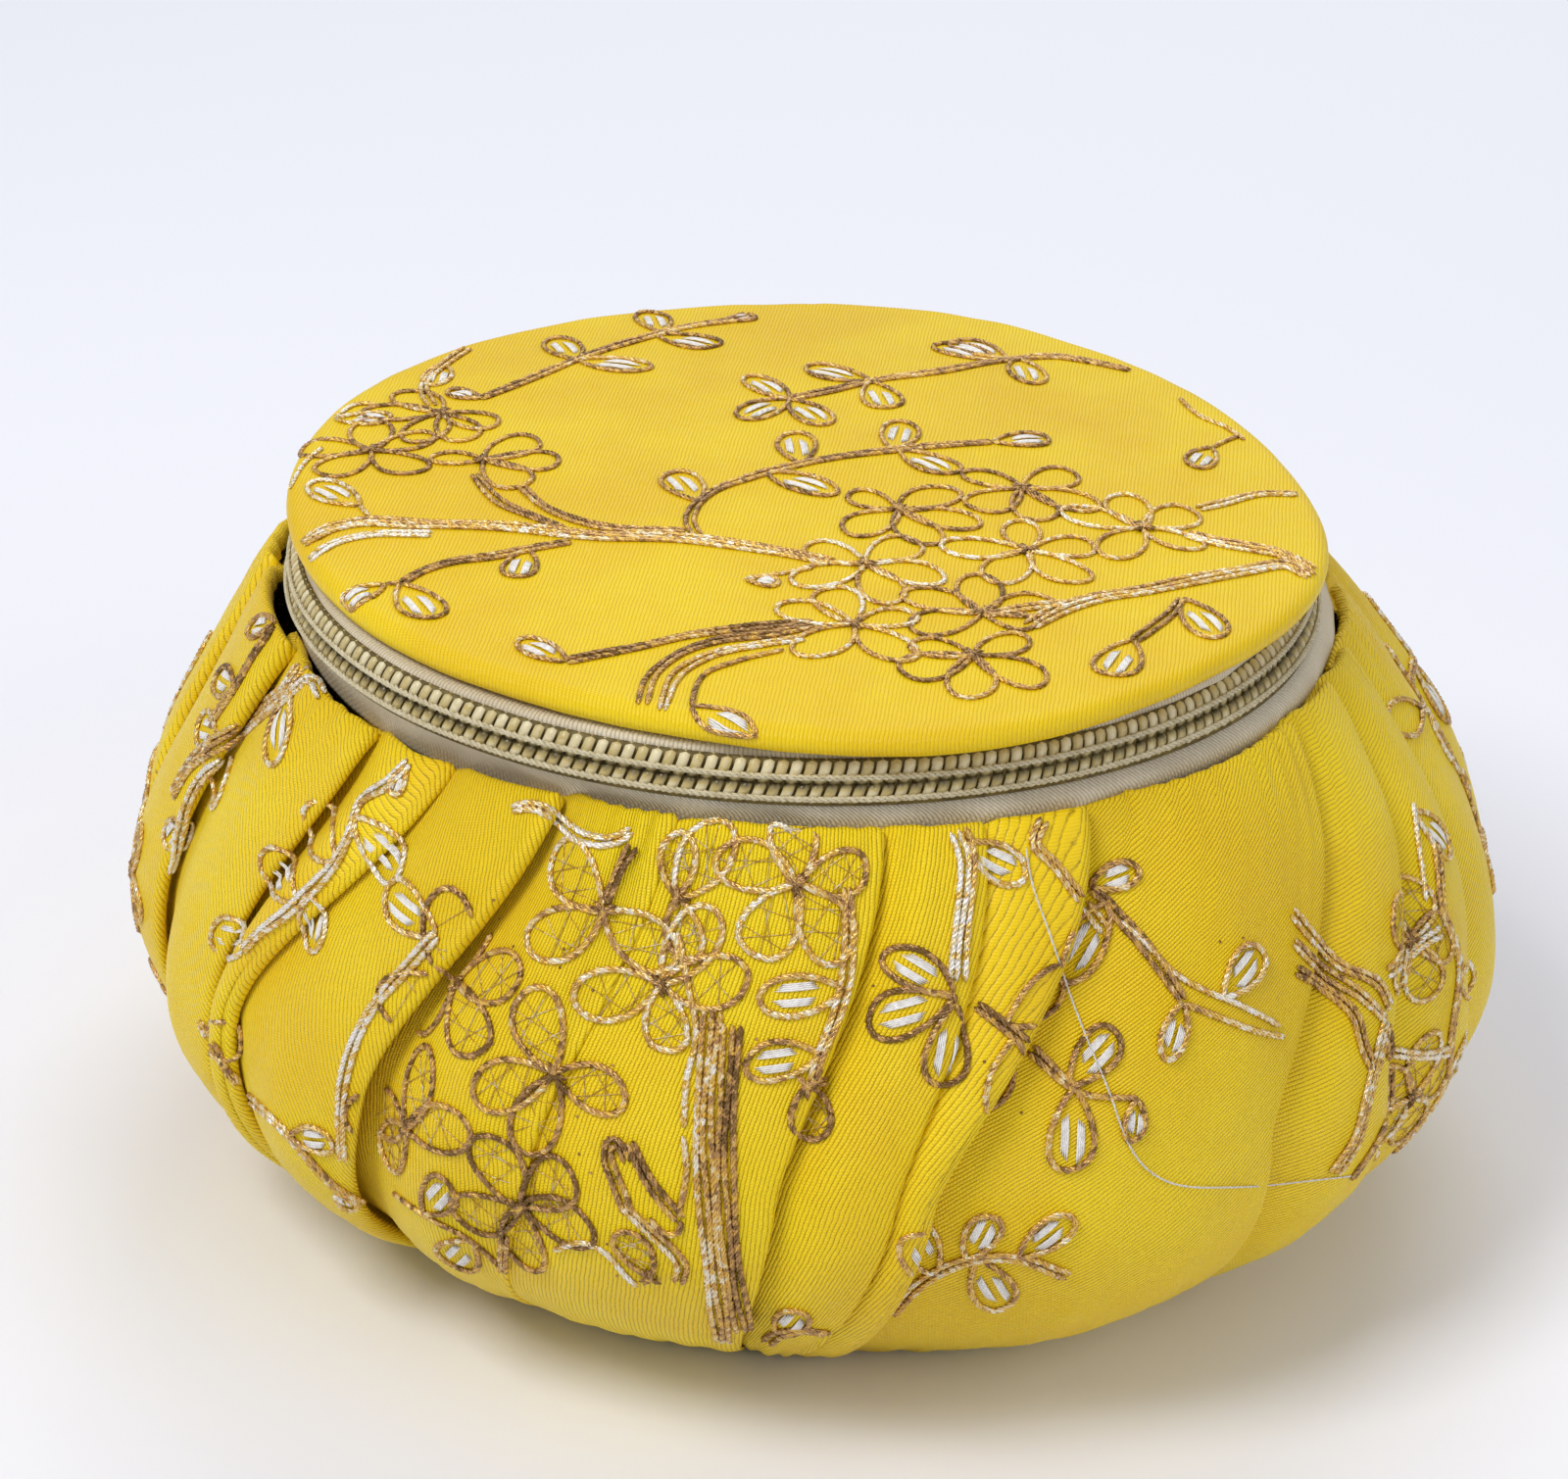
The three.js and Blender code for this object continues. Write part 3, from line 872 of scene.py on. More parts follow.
FOLD_POINTS = (
    FoldPoint(Anchor.LEFT_TUCK, -0.45, 0.93, 1),
    FoldPoint(Anchor.LEFT_TUCK, 0.00, 1.00, 2),
    FoldPoint(Anchor.PANEL, 0.14, 0.62, 4),
    FoldPoint(Anchor.PANEL, 0.36, 0.22, 5),
    FoldPoint(Anchor.PANEL, 0.62, 0.04, 5),
    FoldPoint(Anchor.PANEL, 0.86, 0.00, 3),
    FoldPoint(Anchor.RIGHT_EDGE, -1.20, 0.00, 2),
    FoldPoint(Anchor.RIGHT_EDGE, 0.00, 0.06, 2),
    FoldPoint(Anchor.RIGHT_EDGE, 0.50, 0.26, 2),
    FoldPoint(Anchor.RIGHT_EDGE, -0.10, 0.46, 1),
    FoldPoint(Anchor.RIGHT_TUCK, -0.45, 0.52, 1),
    FoldPoint(Anchor.RIGHT_TUCK, -0.90, 0.58, 1),
    FoldPoint(Anchor.RIGHT_TUCK, -1.05, 0.76, 1),
)


@dataclass
class GatheredBody:
    """The pleated cloth wall between the base and the zip's tape."""

    seam_height: float = 67.0 * MM
    belly_radius: float = 75.6 * MM
    seam_radius: float = 58.0 * MM
    foot_radius: float = 52.4 * MM
    fold_depth: float = 3.4 * MM
    lap: float = 5.0 * MM
    cloth: float = 0.36 * MM
    seam_shift: tuple[float, float] = (-2.0 * MM, -3.4 * MM)
    belly_level: float = 0.44
    rows: int = 64
    ripple_pitch: float = 3.4 * MM
    ripple_depth: float = 0.30 * MM
    crumple_size: float = 17.0 * MM
    crumple_depth: float = 1.25 * MM
    dip_angle: float = -52.0
    dip: float = 1.8 * MM
    slack_angle: float = -86.0
    slack: float = 1.5 * MM
    dip_width: float = 22.0
    slack_width: float = 20.0
    seam_gathers: float = 8.0 * MM
    foot_gathers: float = 9.0 * MM
    widest_narrow_panel: float = 24.0
    tuck_drop: float = 1.1 * MM
    panel_lift: float = 0.12 * MM
    seam_reach: float = 9.0 * MM
    least_height: float = 0.25 * MM
    foot_level: float = 0.6 * MM
    foot_inside: float = 49.6 * MM
    panel_jump_mm: float = 6.0
    top_roll: tuple[Pair, ...] = ((-1.6, 1.0), (-0.4, 0.75), (0.12, 0.35))
    foot_tuck: tuple[Pair, ...] = ((-0.18, 0.9), (-0.05, 1.9))
    tree: Optional[BVHTree] = field(default=None, init=False)

    def profile(self, height: np.ndarray) -> dict[str, np.ndarray]:
        """Reads the section table at shares of the seam's height.

        Args:
            height: shares of the seam's height.

        Returns:
            The swell, fold, shift and radius at each.
        """
        rising = SECTIONS[::-1]
        stations = [s.height for s in rising]
        read = {
            name: smooth_rows(height, stations, [getattr(s, name) for s in rising])
            for name in ("swell", "fold", "shift")
        }
        narrow = np.where(height > self.belly_level, self.seam_radius, self.foot_radius)
        read["radius"] = narrow + (self.belly_radius - narrow) * read["swell"]
        return read

    def levels(self) -> np.ndarray:
        """Spaces the rows evenly along the wall's curve, from the seam down to the foot.

        Returns:
            Shares of the seam's height.
        """
        fine = np.linspace(1.0, 0.0, 600)
        radius = self.profile(fine)["radius"]
        step = np.hypot(np.diff(radius), np.diff(fine) * self.seam_height)
        run = np.concatenate([[0.0], np.cumsum(step)])
        return np.interp(np.linspace(0.0, run[-1], self.rows), run, fine)

    @staticmethod
    def edge(pleat: Pleat, height: np.ndarray) -> np.ndarray:
        """Gives a folded edge's angle at shares of the height.

        Args:
            pleat: the fold.
            height: shares of the seam's height.

        Returns:
            Degrees.
        """
        upper = np.maximum(0.0, height - 0.5) * 2
        lower = np.maximum(0.0, 0.5 - height) * 2
        rise = (pleat.top - pleat.middle) * eased(upper)
        return pleat.middle + rise + (pleat.foot - pleat.middle) * eased(lower)

    def guides(self, height: np.ndarray) -> np.ndarray:
        """Lays the guide points of every fold at every level.

        Args:
            height: the rows' shares of the seam's height.

        Returns:
            Angles and depths, shaped rows by points by two.
        """
        read = self.profile(height)
        per_degree = read["radius"] * math.pi / 180
        fold = self.fold_depth * read["fold"]
        points = []
        for index, pleat in enumerate(PLEATS):
            follower = PLEATS[(index + 1) % len(PLEATS)]
            wrap = 0 if index + 1 < len(PLEATS) else 360
            left, right = self.edge(pleat, height), self.edge(follower, height) + wrap
            width = right - left
            lap = np.minimum(self.lap / per_degree, width * 0.4)
            offset = fold * pleat.puff / 2
            anchors = {
                Anchor.LEFT_TUCK: (left, lap, pleat.depth),
                Anchor.PANEL: (left, width, pleat.depth),
                Anchor.RIGHT_EDGE: (right, MM / per_degree, follower.depth),
                Anchor.RIGHT_TUCK: (right, lap, follower.depth),
            }
            for point in FOLD_POINTS:
                start, scale, share = anchors[point.anchor]
                depth = fold * share * point.depth
                if point.anchor is Anchor.PANEL:
                    depth = depth - fold * pleat.puff * math.sin(math.pi * point.place) ** 2
                if point.anchor is not Anchor.LEFT_TUCK:
                    depth = depth + offset
                points.append(np.stack([start + scale * point.place, depth], axis=-1))
        return np.stack(points, axis=1)

    def columns(self) -> tuple[np.ndarray, np.ndarray]:
        """Lists each column's guide point and the share of the way to the next one.

        Returns:
            Guide point numbers, and shares.
        """
        numbers, shares = [], []
        for index, pleat in enumerate(PLEATS):
            follower = PLEATS[(index + 1) % len(PLEATS)]
            wrap = 0 if index + 1 < len(PLEATS) else 360
            wide = follower.middle + wrap - pleat.middle > self.widest_narrow_panel
            for order, point in enumerate(FOLD_POINTS):
                more = 2 if wide and point.anchor is Anchor.PANEL else 0
                count = point.samples + more
                for sample in range(count):
                    numbers.append(index * len(FOLD_POINTS) + order)
                    shares.append(sample / count)
        return np.array(numbers), np.array(shares)

    def spline(self, guides: np.ndarray, numbers: np.ndarray, t: np.ndarray) -> np.ndarray:
        """Draws the closed cubic curve of each row through its guide points.

        Args:
            guides: rows by points by two.
            numbers: each column's guide point.
            t: each column's share of the way to the next.

        Returns:
            Angles and depths, rows by columns by two.
        """
        count = guides.shape[1]
        turn = np.zeros_like(guides)
        turn[..., 0] = 360.0
        long = np.concatenate([guides - turn, guides, guides + turn], axis=1)
        weights = (
            (1 - t) ** 3, 3 * t ** 3 - 6 * t ** 2 + 4, -3 * t ** 3 + 3 * t ** 2 + 3 * t + 1, t ** 3,
        )
        curve = 0.0
        for step, weight in enumerate(weights):
            curve = curve + long[:, count + numbers - 1 + step] * (weight / 6)[None, :, None]
        return curve

    def relief(self, angle: np.ndarray, height: np.ndarray, along: np.ndarray,
               shown: np.ndarray) -> np.ndarray:
        """Works out the gathers and dents of the cloth, in metres outwards.

        Args:
            angle: degrees, rows by columns.
            height: shares of the seam's height, rows by one.
            along: metres across each panel, by column.
            shown: how far each column is in sight, 0 in the tucks.

        Returns:
            The outward move of each point.
        """
        below_seam = (1 - height) * self.seam_height
        above_foot = height * self.seam_height
        phase = 1.3 * np.sin(angle * 0.11) + 0.5 * np.sin(angle * 0.37)
        wave = np.sin(2 * math.pi * along / self.ripple_pitch + phase + below_seam / (9 * MM))
        uneven = np.clip(0.5 + 0.9 * np.sin(angle * 0.19 + 1.0) * np.sin(angle * 0.071), 0.05, 1.0)
        gathers = self.ripple_depth * uneven * wave * np.exp(-below_seam / self.seam_gathers)
        low_wave = np.sin(2 * math.pi * along / (self.ripple_pitch * 1.3) + phase * 1.7)
        gathers = gathers + self.ripple_depth * 1.2 * low_wave * np.exp(-above_foot / self.foot_gathers)
        crumple = np.zeros(angle.shape)
        around = self.belly_radius / self.crumple_size
        up = 0.55 * height[:, 0] * self.seam_height / self.crumple_size
        apart = Vector((7.1, 3.3, 1.7))
        for (row, column), turn in np.ndenumerate(np.radians(angle)):
            spot = Vector((around * math.cos(turn), around * math.sin(turn), up[row]))
            crumple[row, column] = noise.noise(spot) + 0.35 * noise.noise(spot * 2.3 + apart)
        calm = np.clip(below_seam / (10 * MM), 0.15, 1) * np.clip(above_foot / (8 * MM), 0.2, 1)
        return (gathers + crumple * self.crumple_depth * calm) * shown

    def points(self) -> tuple[np.ndarray, np.ndarray]:
        """Works out the cloth's points and the place of each on its weave.

        Returns:
            Points, rows by columns by three, and weave places in millimetres.
        """
        level = self.levels()
        read = self.profile(level)
        numbers, shares = self.columns()
        curve = self.spline(self.guides(level), numbers, shares)
        angle, depth = curve[..., 0], curve[..., 1]
        order = (numbers % len(FOLD_POINTS)) + shares
        panel = numbers // len(FOLD_POINTS)
        shown = np.clip((order - 0.6) / 1.5, 0, 1) * np.clip((8.2 - order) / 1.2, 0, 1)
        belly = int(np.argmin(np.abs(level - self.belly_level)))
        wide = np.radians(np.diff(angle[belly], prepend=angle[belly, :1])) * self.belly_radius
        run = np.hypot(wide, np.diff(depth[belly], prepend=depth[belly, :1]))
        along = np.zeros(len(run))
        for index in range(len(PLEATS)):
            along[panel == index] = np.cumsum(run[panel == index])
        radius = read["radius"][:, None] - depth
        radius = radius + self.relief(angle, level[:, None], along[None], shown[None])
        height = np.repeat((level * self.seam_height)[:, None], angle.shape[1], axis=1)
        puffed = np.sin(math.pi * np.clip((order - 1) / 7, 0, 1)) * shown
        near_seam = np.exp(-(1 - level[:, None]) * self.seam_height / self.seam_reach)
        lift = self.panel_lift * puffed - self.tuck_drop * (1 - shown)
        height = height + lift[None] * near_seam ** 3
        height = height - self.dip * swell_at(angle, self.dip_angle, self.dip_width) * near_seam
        loose = swell_at(angle, self.slack_angle, self.slack_width) * near_seam * shown[None]
        radius, height = radius + self.slack * loose, height + 0.5 * self.slack * loose
        centre = [read["shift"][:, None] * s for s in self.seam_shift]
        radius, height, angle, centre = self.add_hems(radius, height, angle, centre)
        body = polar(angle, radius, height, centre)
        body[..., 2] = np.maximum(body[..., 2], self.least_height)
        down = np.linalg.norm(np.diff(body, axis=0), axis=-1).mean(axis=1)
        v = np.concatenate([[0.0], np.cumsum(down)])
        turn = np.radians([p.rib for p in PLEATS])[panel]
        u_mm, v_mm = along[None] / MM, v[:, None] / MM
        weave = np.stack([
            u_mm * np.cos(turn) + v_mm * np.sin(turn),
            -u_mm * np.sin(turn) + v_mm * np.cos(turn),
        ], axis=-1)
        return body, weave

    def add_hems(self, radius: np.ndarray, height: np.ndarray, angle: np.ndarray,
                 centre: list) -> tuple[np.ndarray, np.ndarray, np.ndarray, list]:
        """Rolls the cloth in at the seam and tucks it under at the foot.

        Args:
            radius: of each point.
            height: of each point.
            angle: of each point.
            centre: x and y of each row's middle.

        Returns:
            The same four, with the rows of both hems.
        """
        seam_radius, seam_level = radius[:1], height[:1]
        for rise, inset in self.top_roll[::-1]:
            radius = np.vstack([seam_radius - inset * MM, radius])
            height = np.vstack([seam_level + rise * MM, height])
        for rise, inset in self.foot_tuck:
            base = radius[-1:]
            radius = np.vstack([radius, np.maximum(base - inset * MM, self.foot_inside)])
            height = np.vstack([height, height[-1:] * 0 + self.foot_level + rise * MM])
        extra_top, extra_foot = len(self.top_roll), len(self.foot_tuck)
        angle = np.vstack([angle[:1]] * extra_top + [angle] + [angle[-1:]] * extra_foot)
        centre = [np.vstack([c[:1]] * extra_top + [c] + [c[-1:]] * extra_foot) for c in centre]
        return radius, height, angle, centre

    def build(self, finishes: Finishes) -> bpy.types.Object:
        """Builds the cloth, keeps a tree of its surface and gives it its thickness.

        Args:
            finishes: the bag's materials.

        Returns:
            The cloth.
        """
        body, weave = self.points()
        rows, columns = body.shape[:2]
        faces = grid_faces(rows, columns, closed=True)
        piece = mesh_piece("body_cloth", body, faces)
        values = weave.reshape(-1, 2)[np.array(faces)]
        # Where one panel's weave meets the next one's, the face keeps the first panel's places
        jump = np.abs(values[:, 0, 0] - values[:, 3, 0]) + np.abs(values[:, 0, 1] - values[:, 3, 1])
        meets = jump > self.panel_jump_mm
        values[meets, 2:] = values[meets, 1::-1] + 0.4
        store_uv(piece, "weave", values)
        self.tree = BVHTree.FromPolygons(
            [Vector(p) for p in body.reshape(-1, 3)], faces, all_triangles=False
        )
        thicken(piece, self.cloth)
        settle(piece, "brocade", finishes.brocade, "gathered_body")
        return piece


@dataclass(frozen=True)
class OutlineRow:
    """The lid's radius at an angle, as a share of its named radius."""

    angle: float
    share: float


LID_OUTLINE = (
    OutlineRow(-165, 1.000), OutlineRow(-120, 0.996), OutlineRow(-85, 0.984),
    OutlineRow(-45, 0.992), OutlineRow(-15, 0.996), OutlineRow(14, 1.032),
    OutlineRow(45, 0.986), OutlineRow(75, 0.994), OutlineRow(106, 0.966),
    OutlineRow(135, 0.996), OutlineRow(165, 1.032),
)


@dataclass
class LidPanel:
    """The padded lid: satin stretched over a stiff board."""

    radius: float = 56.4 * MM
    edge: float = 2.8 * MM
    crown: float = 2.0 * MM
    centre: tuple[float, float] = (-3.05 * MM, -3.6 * MM)
    sides: int = 256
    rings: int = 58
    dent: float = 0.16 * MM
    dent_size: float = 11.0 * MM
    tree: Optional[BVHTree] = field(default=None, init=False)

    def outline(self, angle: np.ndarray) -> np.ndarray:
        """Gives the outline's radius at angles, smoothly between the rows of its table.

        Args:
            angle: degrees.

        Returns:
            Radii in metres.
        """
        angles = [r.angle for r in LID_OUTLINE]
        shares = [r.share for r in LID_OUTLINE]
        angles = [angles[-1] - 360, *angles, angles[0] + 360]
        shares = [shares[-1], *shares, shares[0]]
        at = (np.asarray(angle) + 180) % 360 - 180
        return self.radius * smooth_rows(at, angles, shares)

    def section(self) -> np.ndarray:
        """Lists the rings: radius share, crown share and edge share, from top to underside.

        Returns:
            One row for each ring.
        """
        top = [(r, (1 - r ** 2.2) ** 1.15, 1.0) for r in np.linspace(0.012, 0.955, self.rings)]
        turns = np.linspace(0.0, math.pi, 15)
        rim = [(0.966 + 0.034 * math.sin(a), 0.085 * (1 - a / math.pi) ** 2, 0.5 + 0.5 * math.cos(a))
               for a in turns]
        under = [(r, 0.0, 0.0) for r in (0.93, 0.88, 0.6, 0.3, 0.012)]
        return np.array(top + rim + under)

    def build(self, finishes: Finishes) -> bpy.types.Object:
        """Builds the padded lid and keeps a tree of its surface.

        Args:
            finishes: the bag's materials.

        Returns:
            The lid.
        """
        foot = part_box("lid_panel")[0].z
        rings = self.section()
        angle = np.arange(self.sides) * 360 / self.sides
        radius = self.outline(angle)[None] * rings[:, :1]
        height = foot + self.edge * rings[:, 2:] + self.crown * rings[:, 1:2] + 0 * radius
        points = polar(angle[None], radius, height, self.centre)
        for row in np.nonzero(rings[:, 2] >= 0.05)[0]:
            for column in range(self.sides):
                spot = Vector(points[row, column]) / self.dent_size
                dent = noise.noise(spot) + 0.5 * noise.noise(spot * 2.4)
                points[row, column, 2] += dent * self.dent
        faces = grid_faces(len(rings), self.sides, closed=True)
        last = (len(rings) - 1) * self.sides
        faces.append(tuple(range(self.sides)))
        faces.append(tuple(reversed(range(last, last + self.sides))))
        piece = mesh_piece("lid_pad", points, faces)
        self.tree = BVHTree.FromPolygons(
            [Vector(p) for p in points.reshape(-1, 3)], faces, all_triangles=False
        )
        settle(piece, "lid_satin", finishes.satin, "lid_panel")
        return piece


RING_DRAW = (
    OutlineRow(-180, 0.960), OutlineRow(-145, 0.948), OutlineRow(-110, 0.926),
    OutlineRow(-90, 0.930), OutlineRow(-78, 0.946), OutlineRow(-66, 0.968),
    OutlineRow(-55, 0.986), OutlineRow(-44, 0.998), OutlineRow(-30, 1.000),
    OutlineRow(120, 1.000), OutlineRow(145, 0.985), OutlineRow(180, 0.960),
)


@dataclass(frozen=True)
class CoilRow:
    """A row of the chain, in millimetres above its line, with its shift in turns."""

    side: Side
    middle: float
    height: float
    cord: float
    shift: float


COIL_ROWS = (
    CoilRow(Side.UPPER, 0.55, 2.15, 0.30, 0.5),
    CoilRow(Side.LOWER, -1.45, 1.80, -1.90, 0.0),
)


class Level(Enum):
    """What a band's heights are measured from."""

    LID = "the lid's underside"
    CHAIN = "the chain's line"
    SEAM = "the body's top seam"


@dataclass(frozen=True)
class Station:
    """A line along a band: its radius and its rise over a level, both in millimetres, and how
    far its centre has moved from the chain's to the seam's."""

    radius: float
    level: Level
    rise: float
    share: float = 0.0


LOWER_TAPE = (
    Station(54.35, Level.CHAIN, -0.6), Station(54.5, Level.CHAIN, -2.3),
    Station(55.6, Level.SEAM, 1.6, 0.5), Station(55.95, Level.SEAM, 0.0, 1.0),
    Station(55.3, Level.SEAM, -3.0, 1.0),
)
UPPER_TAPE = (
    Station(49.0, Level.LID, -0.35), Station(53.2, Level.LID, -0.38),
    Station(54.5, Level.CHAIN, 1.9), Station(54.35, Level.CHAIN, 0.6),
)
HINGE = (
    Station(49.0, Level.LID, -0.35), Station(53.4, Level.LID, -0.4),
    Station(57.3, Level.CHAIN, 0.8, 0.1), Station(57.6, Level.CHAIN, -2.0, 0.3),
    Station(56.6, Level.SEAM, 0.0, 1.0), Station(55.3, Level.SEAM, -3.0, 1.0),
)


@dataclass(frozen=True)
class SliderPart:
    """A block of the slider: its angle, its size along, out and up in millimetres, how far out
    it stands and its bevel."""

    name: str
    angle: float
    size: tuple[float, float, float]
    out: float
    bevel: float


SLIDER_PARTS = (
    SliderPart("slider_body", 138.2, (8.6, 1.9, 3.4), 0.95, 0.5),
    SliderPart("slider_bridge", 137.5, (4.6, 0.8, 1.4), 2.0, 0.3),
    SliderPart("slider_pull", 124.8, (16.0, 0.8, 3.2), 1.5, 0.3),
)


@dataclass
class ZipRing:
    """The zip: two woven tapes, two rows of coil with their stitched cords, and the slider."""

    radius: float = 56.1 * MM
    height: float = 72.0 * MM
    centre: tuple[float, float] = (-5.3 * MM, -3.9 * MM)
    seam_centre: tuple[float, float] = (-2.0 * MM, -3.4 * MM)
    half_angle: float = 145.0
    pitch: float = 1.37 * MM
    wire: float = 0.60 * MM
    row_depth: float = 1.5 * MM
    meeting: float = -0.55 * MM
    left_rise: float = 0.5 * MM
    rise_angle: float = -55.0
    rise_width: float = 24.0
    least_lean: float = 8.0
    more_lean: float = 22.0
    lean_angle: float = 62.0
    lean_width: float = 26.0
    tape: float = 0.5 * MM
    slider_radius: float = 56.5 * MM
    hinge_laps: Pair = (1.5, 3.0)

    @staticmethod
    def draw(angle: np.ndarray) -> np.ndarray:
        """Gives how far the ring draws in at an angle, as a share of its radius."""
        at = (np.asarray(angle, float) + 180) % 360 - 180
        return smooth_rows(at, [r.angle for r in RING_DRAW], [r.share for r in RING_DRAW])

    def lean(self, angle: np.ndarray) -> np.ndarray:
        """Gives how far the chain leans back at an angle, in radians."""
        leaning = swell_at(angle, self.lean_angle, self.lean_width)
        return np.radians(self.least_lean + self.more_lean * leaning)

    def place(self, angle: np.ndarray, out: np.ndarray, up: np.ndarray) -> np.ndarray:
        """Places points by the chain's own axes.

        Args:
            angle: degrees along the chain.
            out: metres outwards from the chain's line.
            up: metres upwards from it.

        Returns:
            Points in the bag's frame.
        """
        lean = self.lean(angle)
        radial = out * np.cos(lean) - up * np.sin(lean)
        rise = out * np.sin(lean) + up * np.cos(lean)
        height = self.height + rise + self.left_rise * swell_at(angle, self.rise_angle, self.rise_width)
        return polar(angle, self.radius * self.draw(angle) + radial, height, self.centre)

    def one_turn(self) -> tuple[np.ndarray, list]:
        """Models one turn of the coil and gives its points, out and up, and its faces.

        Returns:
            Points and faces.
        """
        bpy.ops.object.select_all(action="DESELECT")
        bpy.ops.mesh.primitive_torus_add(
            major_segments=12, minor_segments=6, major_radius=0.46, minor_radius=0.20,
        )
        turn = bpy.context.active_object
        bpy.ops.object.mode_set(mode="EDIT")
        bpy.ops.mesh.select_all(action="SELECT")
        bpy.ops.transform.resize(value=(1.0, 0.45, 1.0))
        bpy.ops.object.mode_set(mode="OBJECT")
        points = np.array([v.co for v in turn.data.vertices])
        faces = [tuple(p.vertices) for p in turn.data.polygons]
        bpy.data.objects.remove(turn)
        return points, faces

    def coil_row(self, row: CoilRow, finishes: Finishes) -> bpy.types.Object:
        """Copies the turn along one row, each copy with its own slant.

        Args:
            row: which row is made.
            finishes: the bag's materials.

        Returns:
            The row's coil, with a dark strip behind its turns that paints the shade seen between them.
        """
        shape, turn_faces = self.one_turn()
        span = math.radians(2 * self.half_angle) * self.radius
        count = int(span / self.pitch)
        step = math.degrees(self.pitch / self.radius)
        middle = row.middle * MM
        points, faces, tones = [], [], []
        for number in range(count):
            angle = -self.half_angle + (number + 0.5 + row.shift) * step
            up = middle + shape[:, 0] * row.height * MM
            out = -self.row_depth / 2 + shape[:, 1] * self.row_depth / 0.55
            slant = shape[:, 0] * (0.34 + shape[:, 1] / 0.225 * 0.16) * step
            along = angle + shape[:, 2] / 0.2 * math.degrees(self.wire / self.radius) + slant
            base = number * len(shape)
            points.append(self.place(along, out, up))
            # Painted shade: the turns darken towards the meeting line, where the rows interlock.
            interlock_shade = np.exp(-((up - self.meeting) / (0.42 * MM)) ** 2)
            tones.append(np.clip(0.12 + 0.22 * (number % 2) + 0.85 * interlock_shade, 0, 1))
            faces += [tuple(base + corner for corner in face) for face in turn_faces]
        steps = 160
        arc = np.linspace(-self.half_angle, self.half_angle, steps)
        # A dark strip behind the turns: painted shade that shows between them.
        shade_strip = [(-0.5, 1.35), (-0.5, -1.35), (-0.95, -1.35), (-0.95, 1.35)]
        rows = [self.place(arc, np.full(steps, o * MM), np.full(steps, middle + u * MM)) for o, u in shade_strip]
        start = count * len(shape)
        points = np.concatenate([*points, *rows])
        tones.append(np.ones(steps * len(shade_strip)))
        shade_strip_faces = []
        for line in range(len(shade_strip)):
            under = (line + 1) % len(shade_strip)
            for column in range(steps - 1):
                a, b = start + line * steps + column, start + under * steps + column
                shade_strip_faces.append((a, b, b + 1, a + 1))
        for end, order in ((0, 1), (steps - 1, -1)):
            shade_strip_faces.append(tuple(start + line * steps + end for line in range(len(shade_strip)))[::order])
        label = row.side.value
        piece = mesh_piece(f"coil_{label}", points, faces + shade_strip_faces)
        store_value(piece, "tone", np.concatenate(tones))
        settle(piece, "zip_coil", finishes.coil, f"zip_coil_{label}")
        piece.data.materials.append(finishes.coil_shade_strip)
        slots = np.zeros(len(piece.data.polygons), np.int32)
        slots[len(faces):] = 1
        piece.data.polygons.foreach_set("material_index", slots)
        return piece

    def band(self, name: str, stations: Sequence[tuple[float, float, float]], start: float,
             end: float) -> bpy.types.Object:
        """Makes a woven band from its section.

        Args:
            name: the piece's name.
            stations: radius and height in metres and the share of the seam's centre.
            start: degrees at which it starts.
            end: degrees at which it ends.

        Returns:
            The band, with its weave's places stored.
        """
        steps = int(abs(end - start) * 1.1)
        arc = np.linspace(start, end, steps)
        table = np.array(stations)
        fine = np.linspace(0, len(table) - 1, 4 * (len(table) - 1) + 1)
        read = [smooth_rows(fine, range(len(table)), table[:, k]) for k in range(3)]
        centre = [self.centre[k] + (self.seam_centre[k] - self.centre[k]) * read[2] for k in (0, 1)]
        waver = 0.12 * MM * np.sin(np.radians(arc) * 23) + 0.1 * MM * np.sin(np.radians(arc) * 41 + 1)
        bulge = np.sin(math.pi * fine / fine[-1])[:, None] * waver[None]
        drawn = 1 + (self.draw(arc)[None] - 1) * (1 - read[2][:, None])
        radius = read[0][:, None] * drawn + bulge
        points = polar(arc[None], radius, read[1][:, None], [c[:, None] for c in centre])
        faces = grid_faces(len(fine), steps, closed=False)
        piece = mesh_piece(name, points, faces)
        across = np.concatenate([[0], np.cumsum(np.hypot(np.diff(read[0]), np.diff(read[1])))]) / MM
        along = np.radians(arc) * self.radius / MM
        place = np.stack(np.broadcast_arrays(along[None], across[:, None]), axis=-1).reshape(-1, 2)
        store_uv(piece, "weave", place[np.array(faces)])
        thicken(piece, self.tape)
        return piece

    def tapes(self, finishes: Finishes) -> None:
        """Builds the two tapes and the cloth hinge behind.

        Args:
            finishes: the bag's materials.
        """
        lid_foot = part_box("lid_panel")[0].z
        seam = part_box("gathered_body")[1].z
        levels = {Level.LID: lid_foot, Level.CHAIN: self.height, Level.SEAM: seam}
        lower, upper, hinge = (
            [(s.radius * MM, levels[s.level] + s.rise * MM, s.share) for s in stations]
            for stations in (LOWER_TAPE, UPPER_TAPE, HINGE)
        )
        ends = self.half_angle
        piece = self.band("tape_lower", lower, -ends, ends)
        settle(piece, "zip_tape", finishes.tape, "zip_tape_lower")
        piece = self.band("tape_upper", upper, -ends, ends)
        settle(piece, "zip_tape", finishes.tape, "zip_tape_upper")
        start, end = ends - self.hinge_laps[0], 360 - ends + self.hinge_laps[1]
        piece = self.band("hinge_cloth", hinge, start, end)
        settle(piece, "brocade", finishes.brocade, "back_hinge")

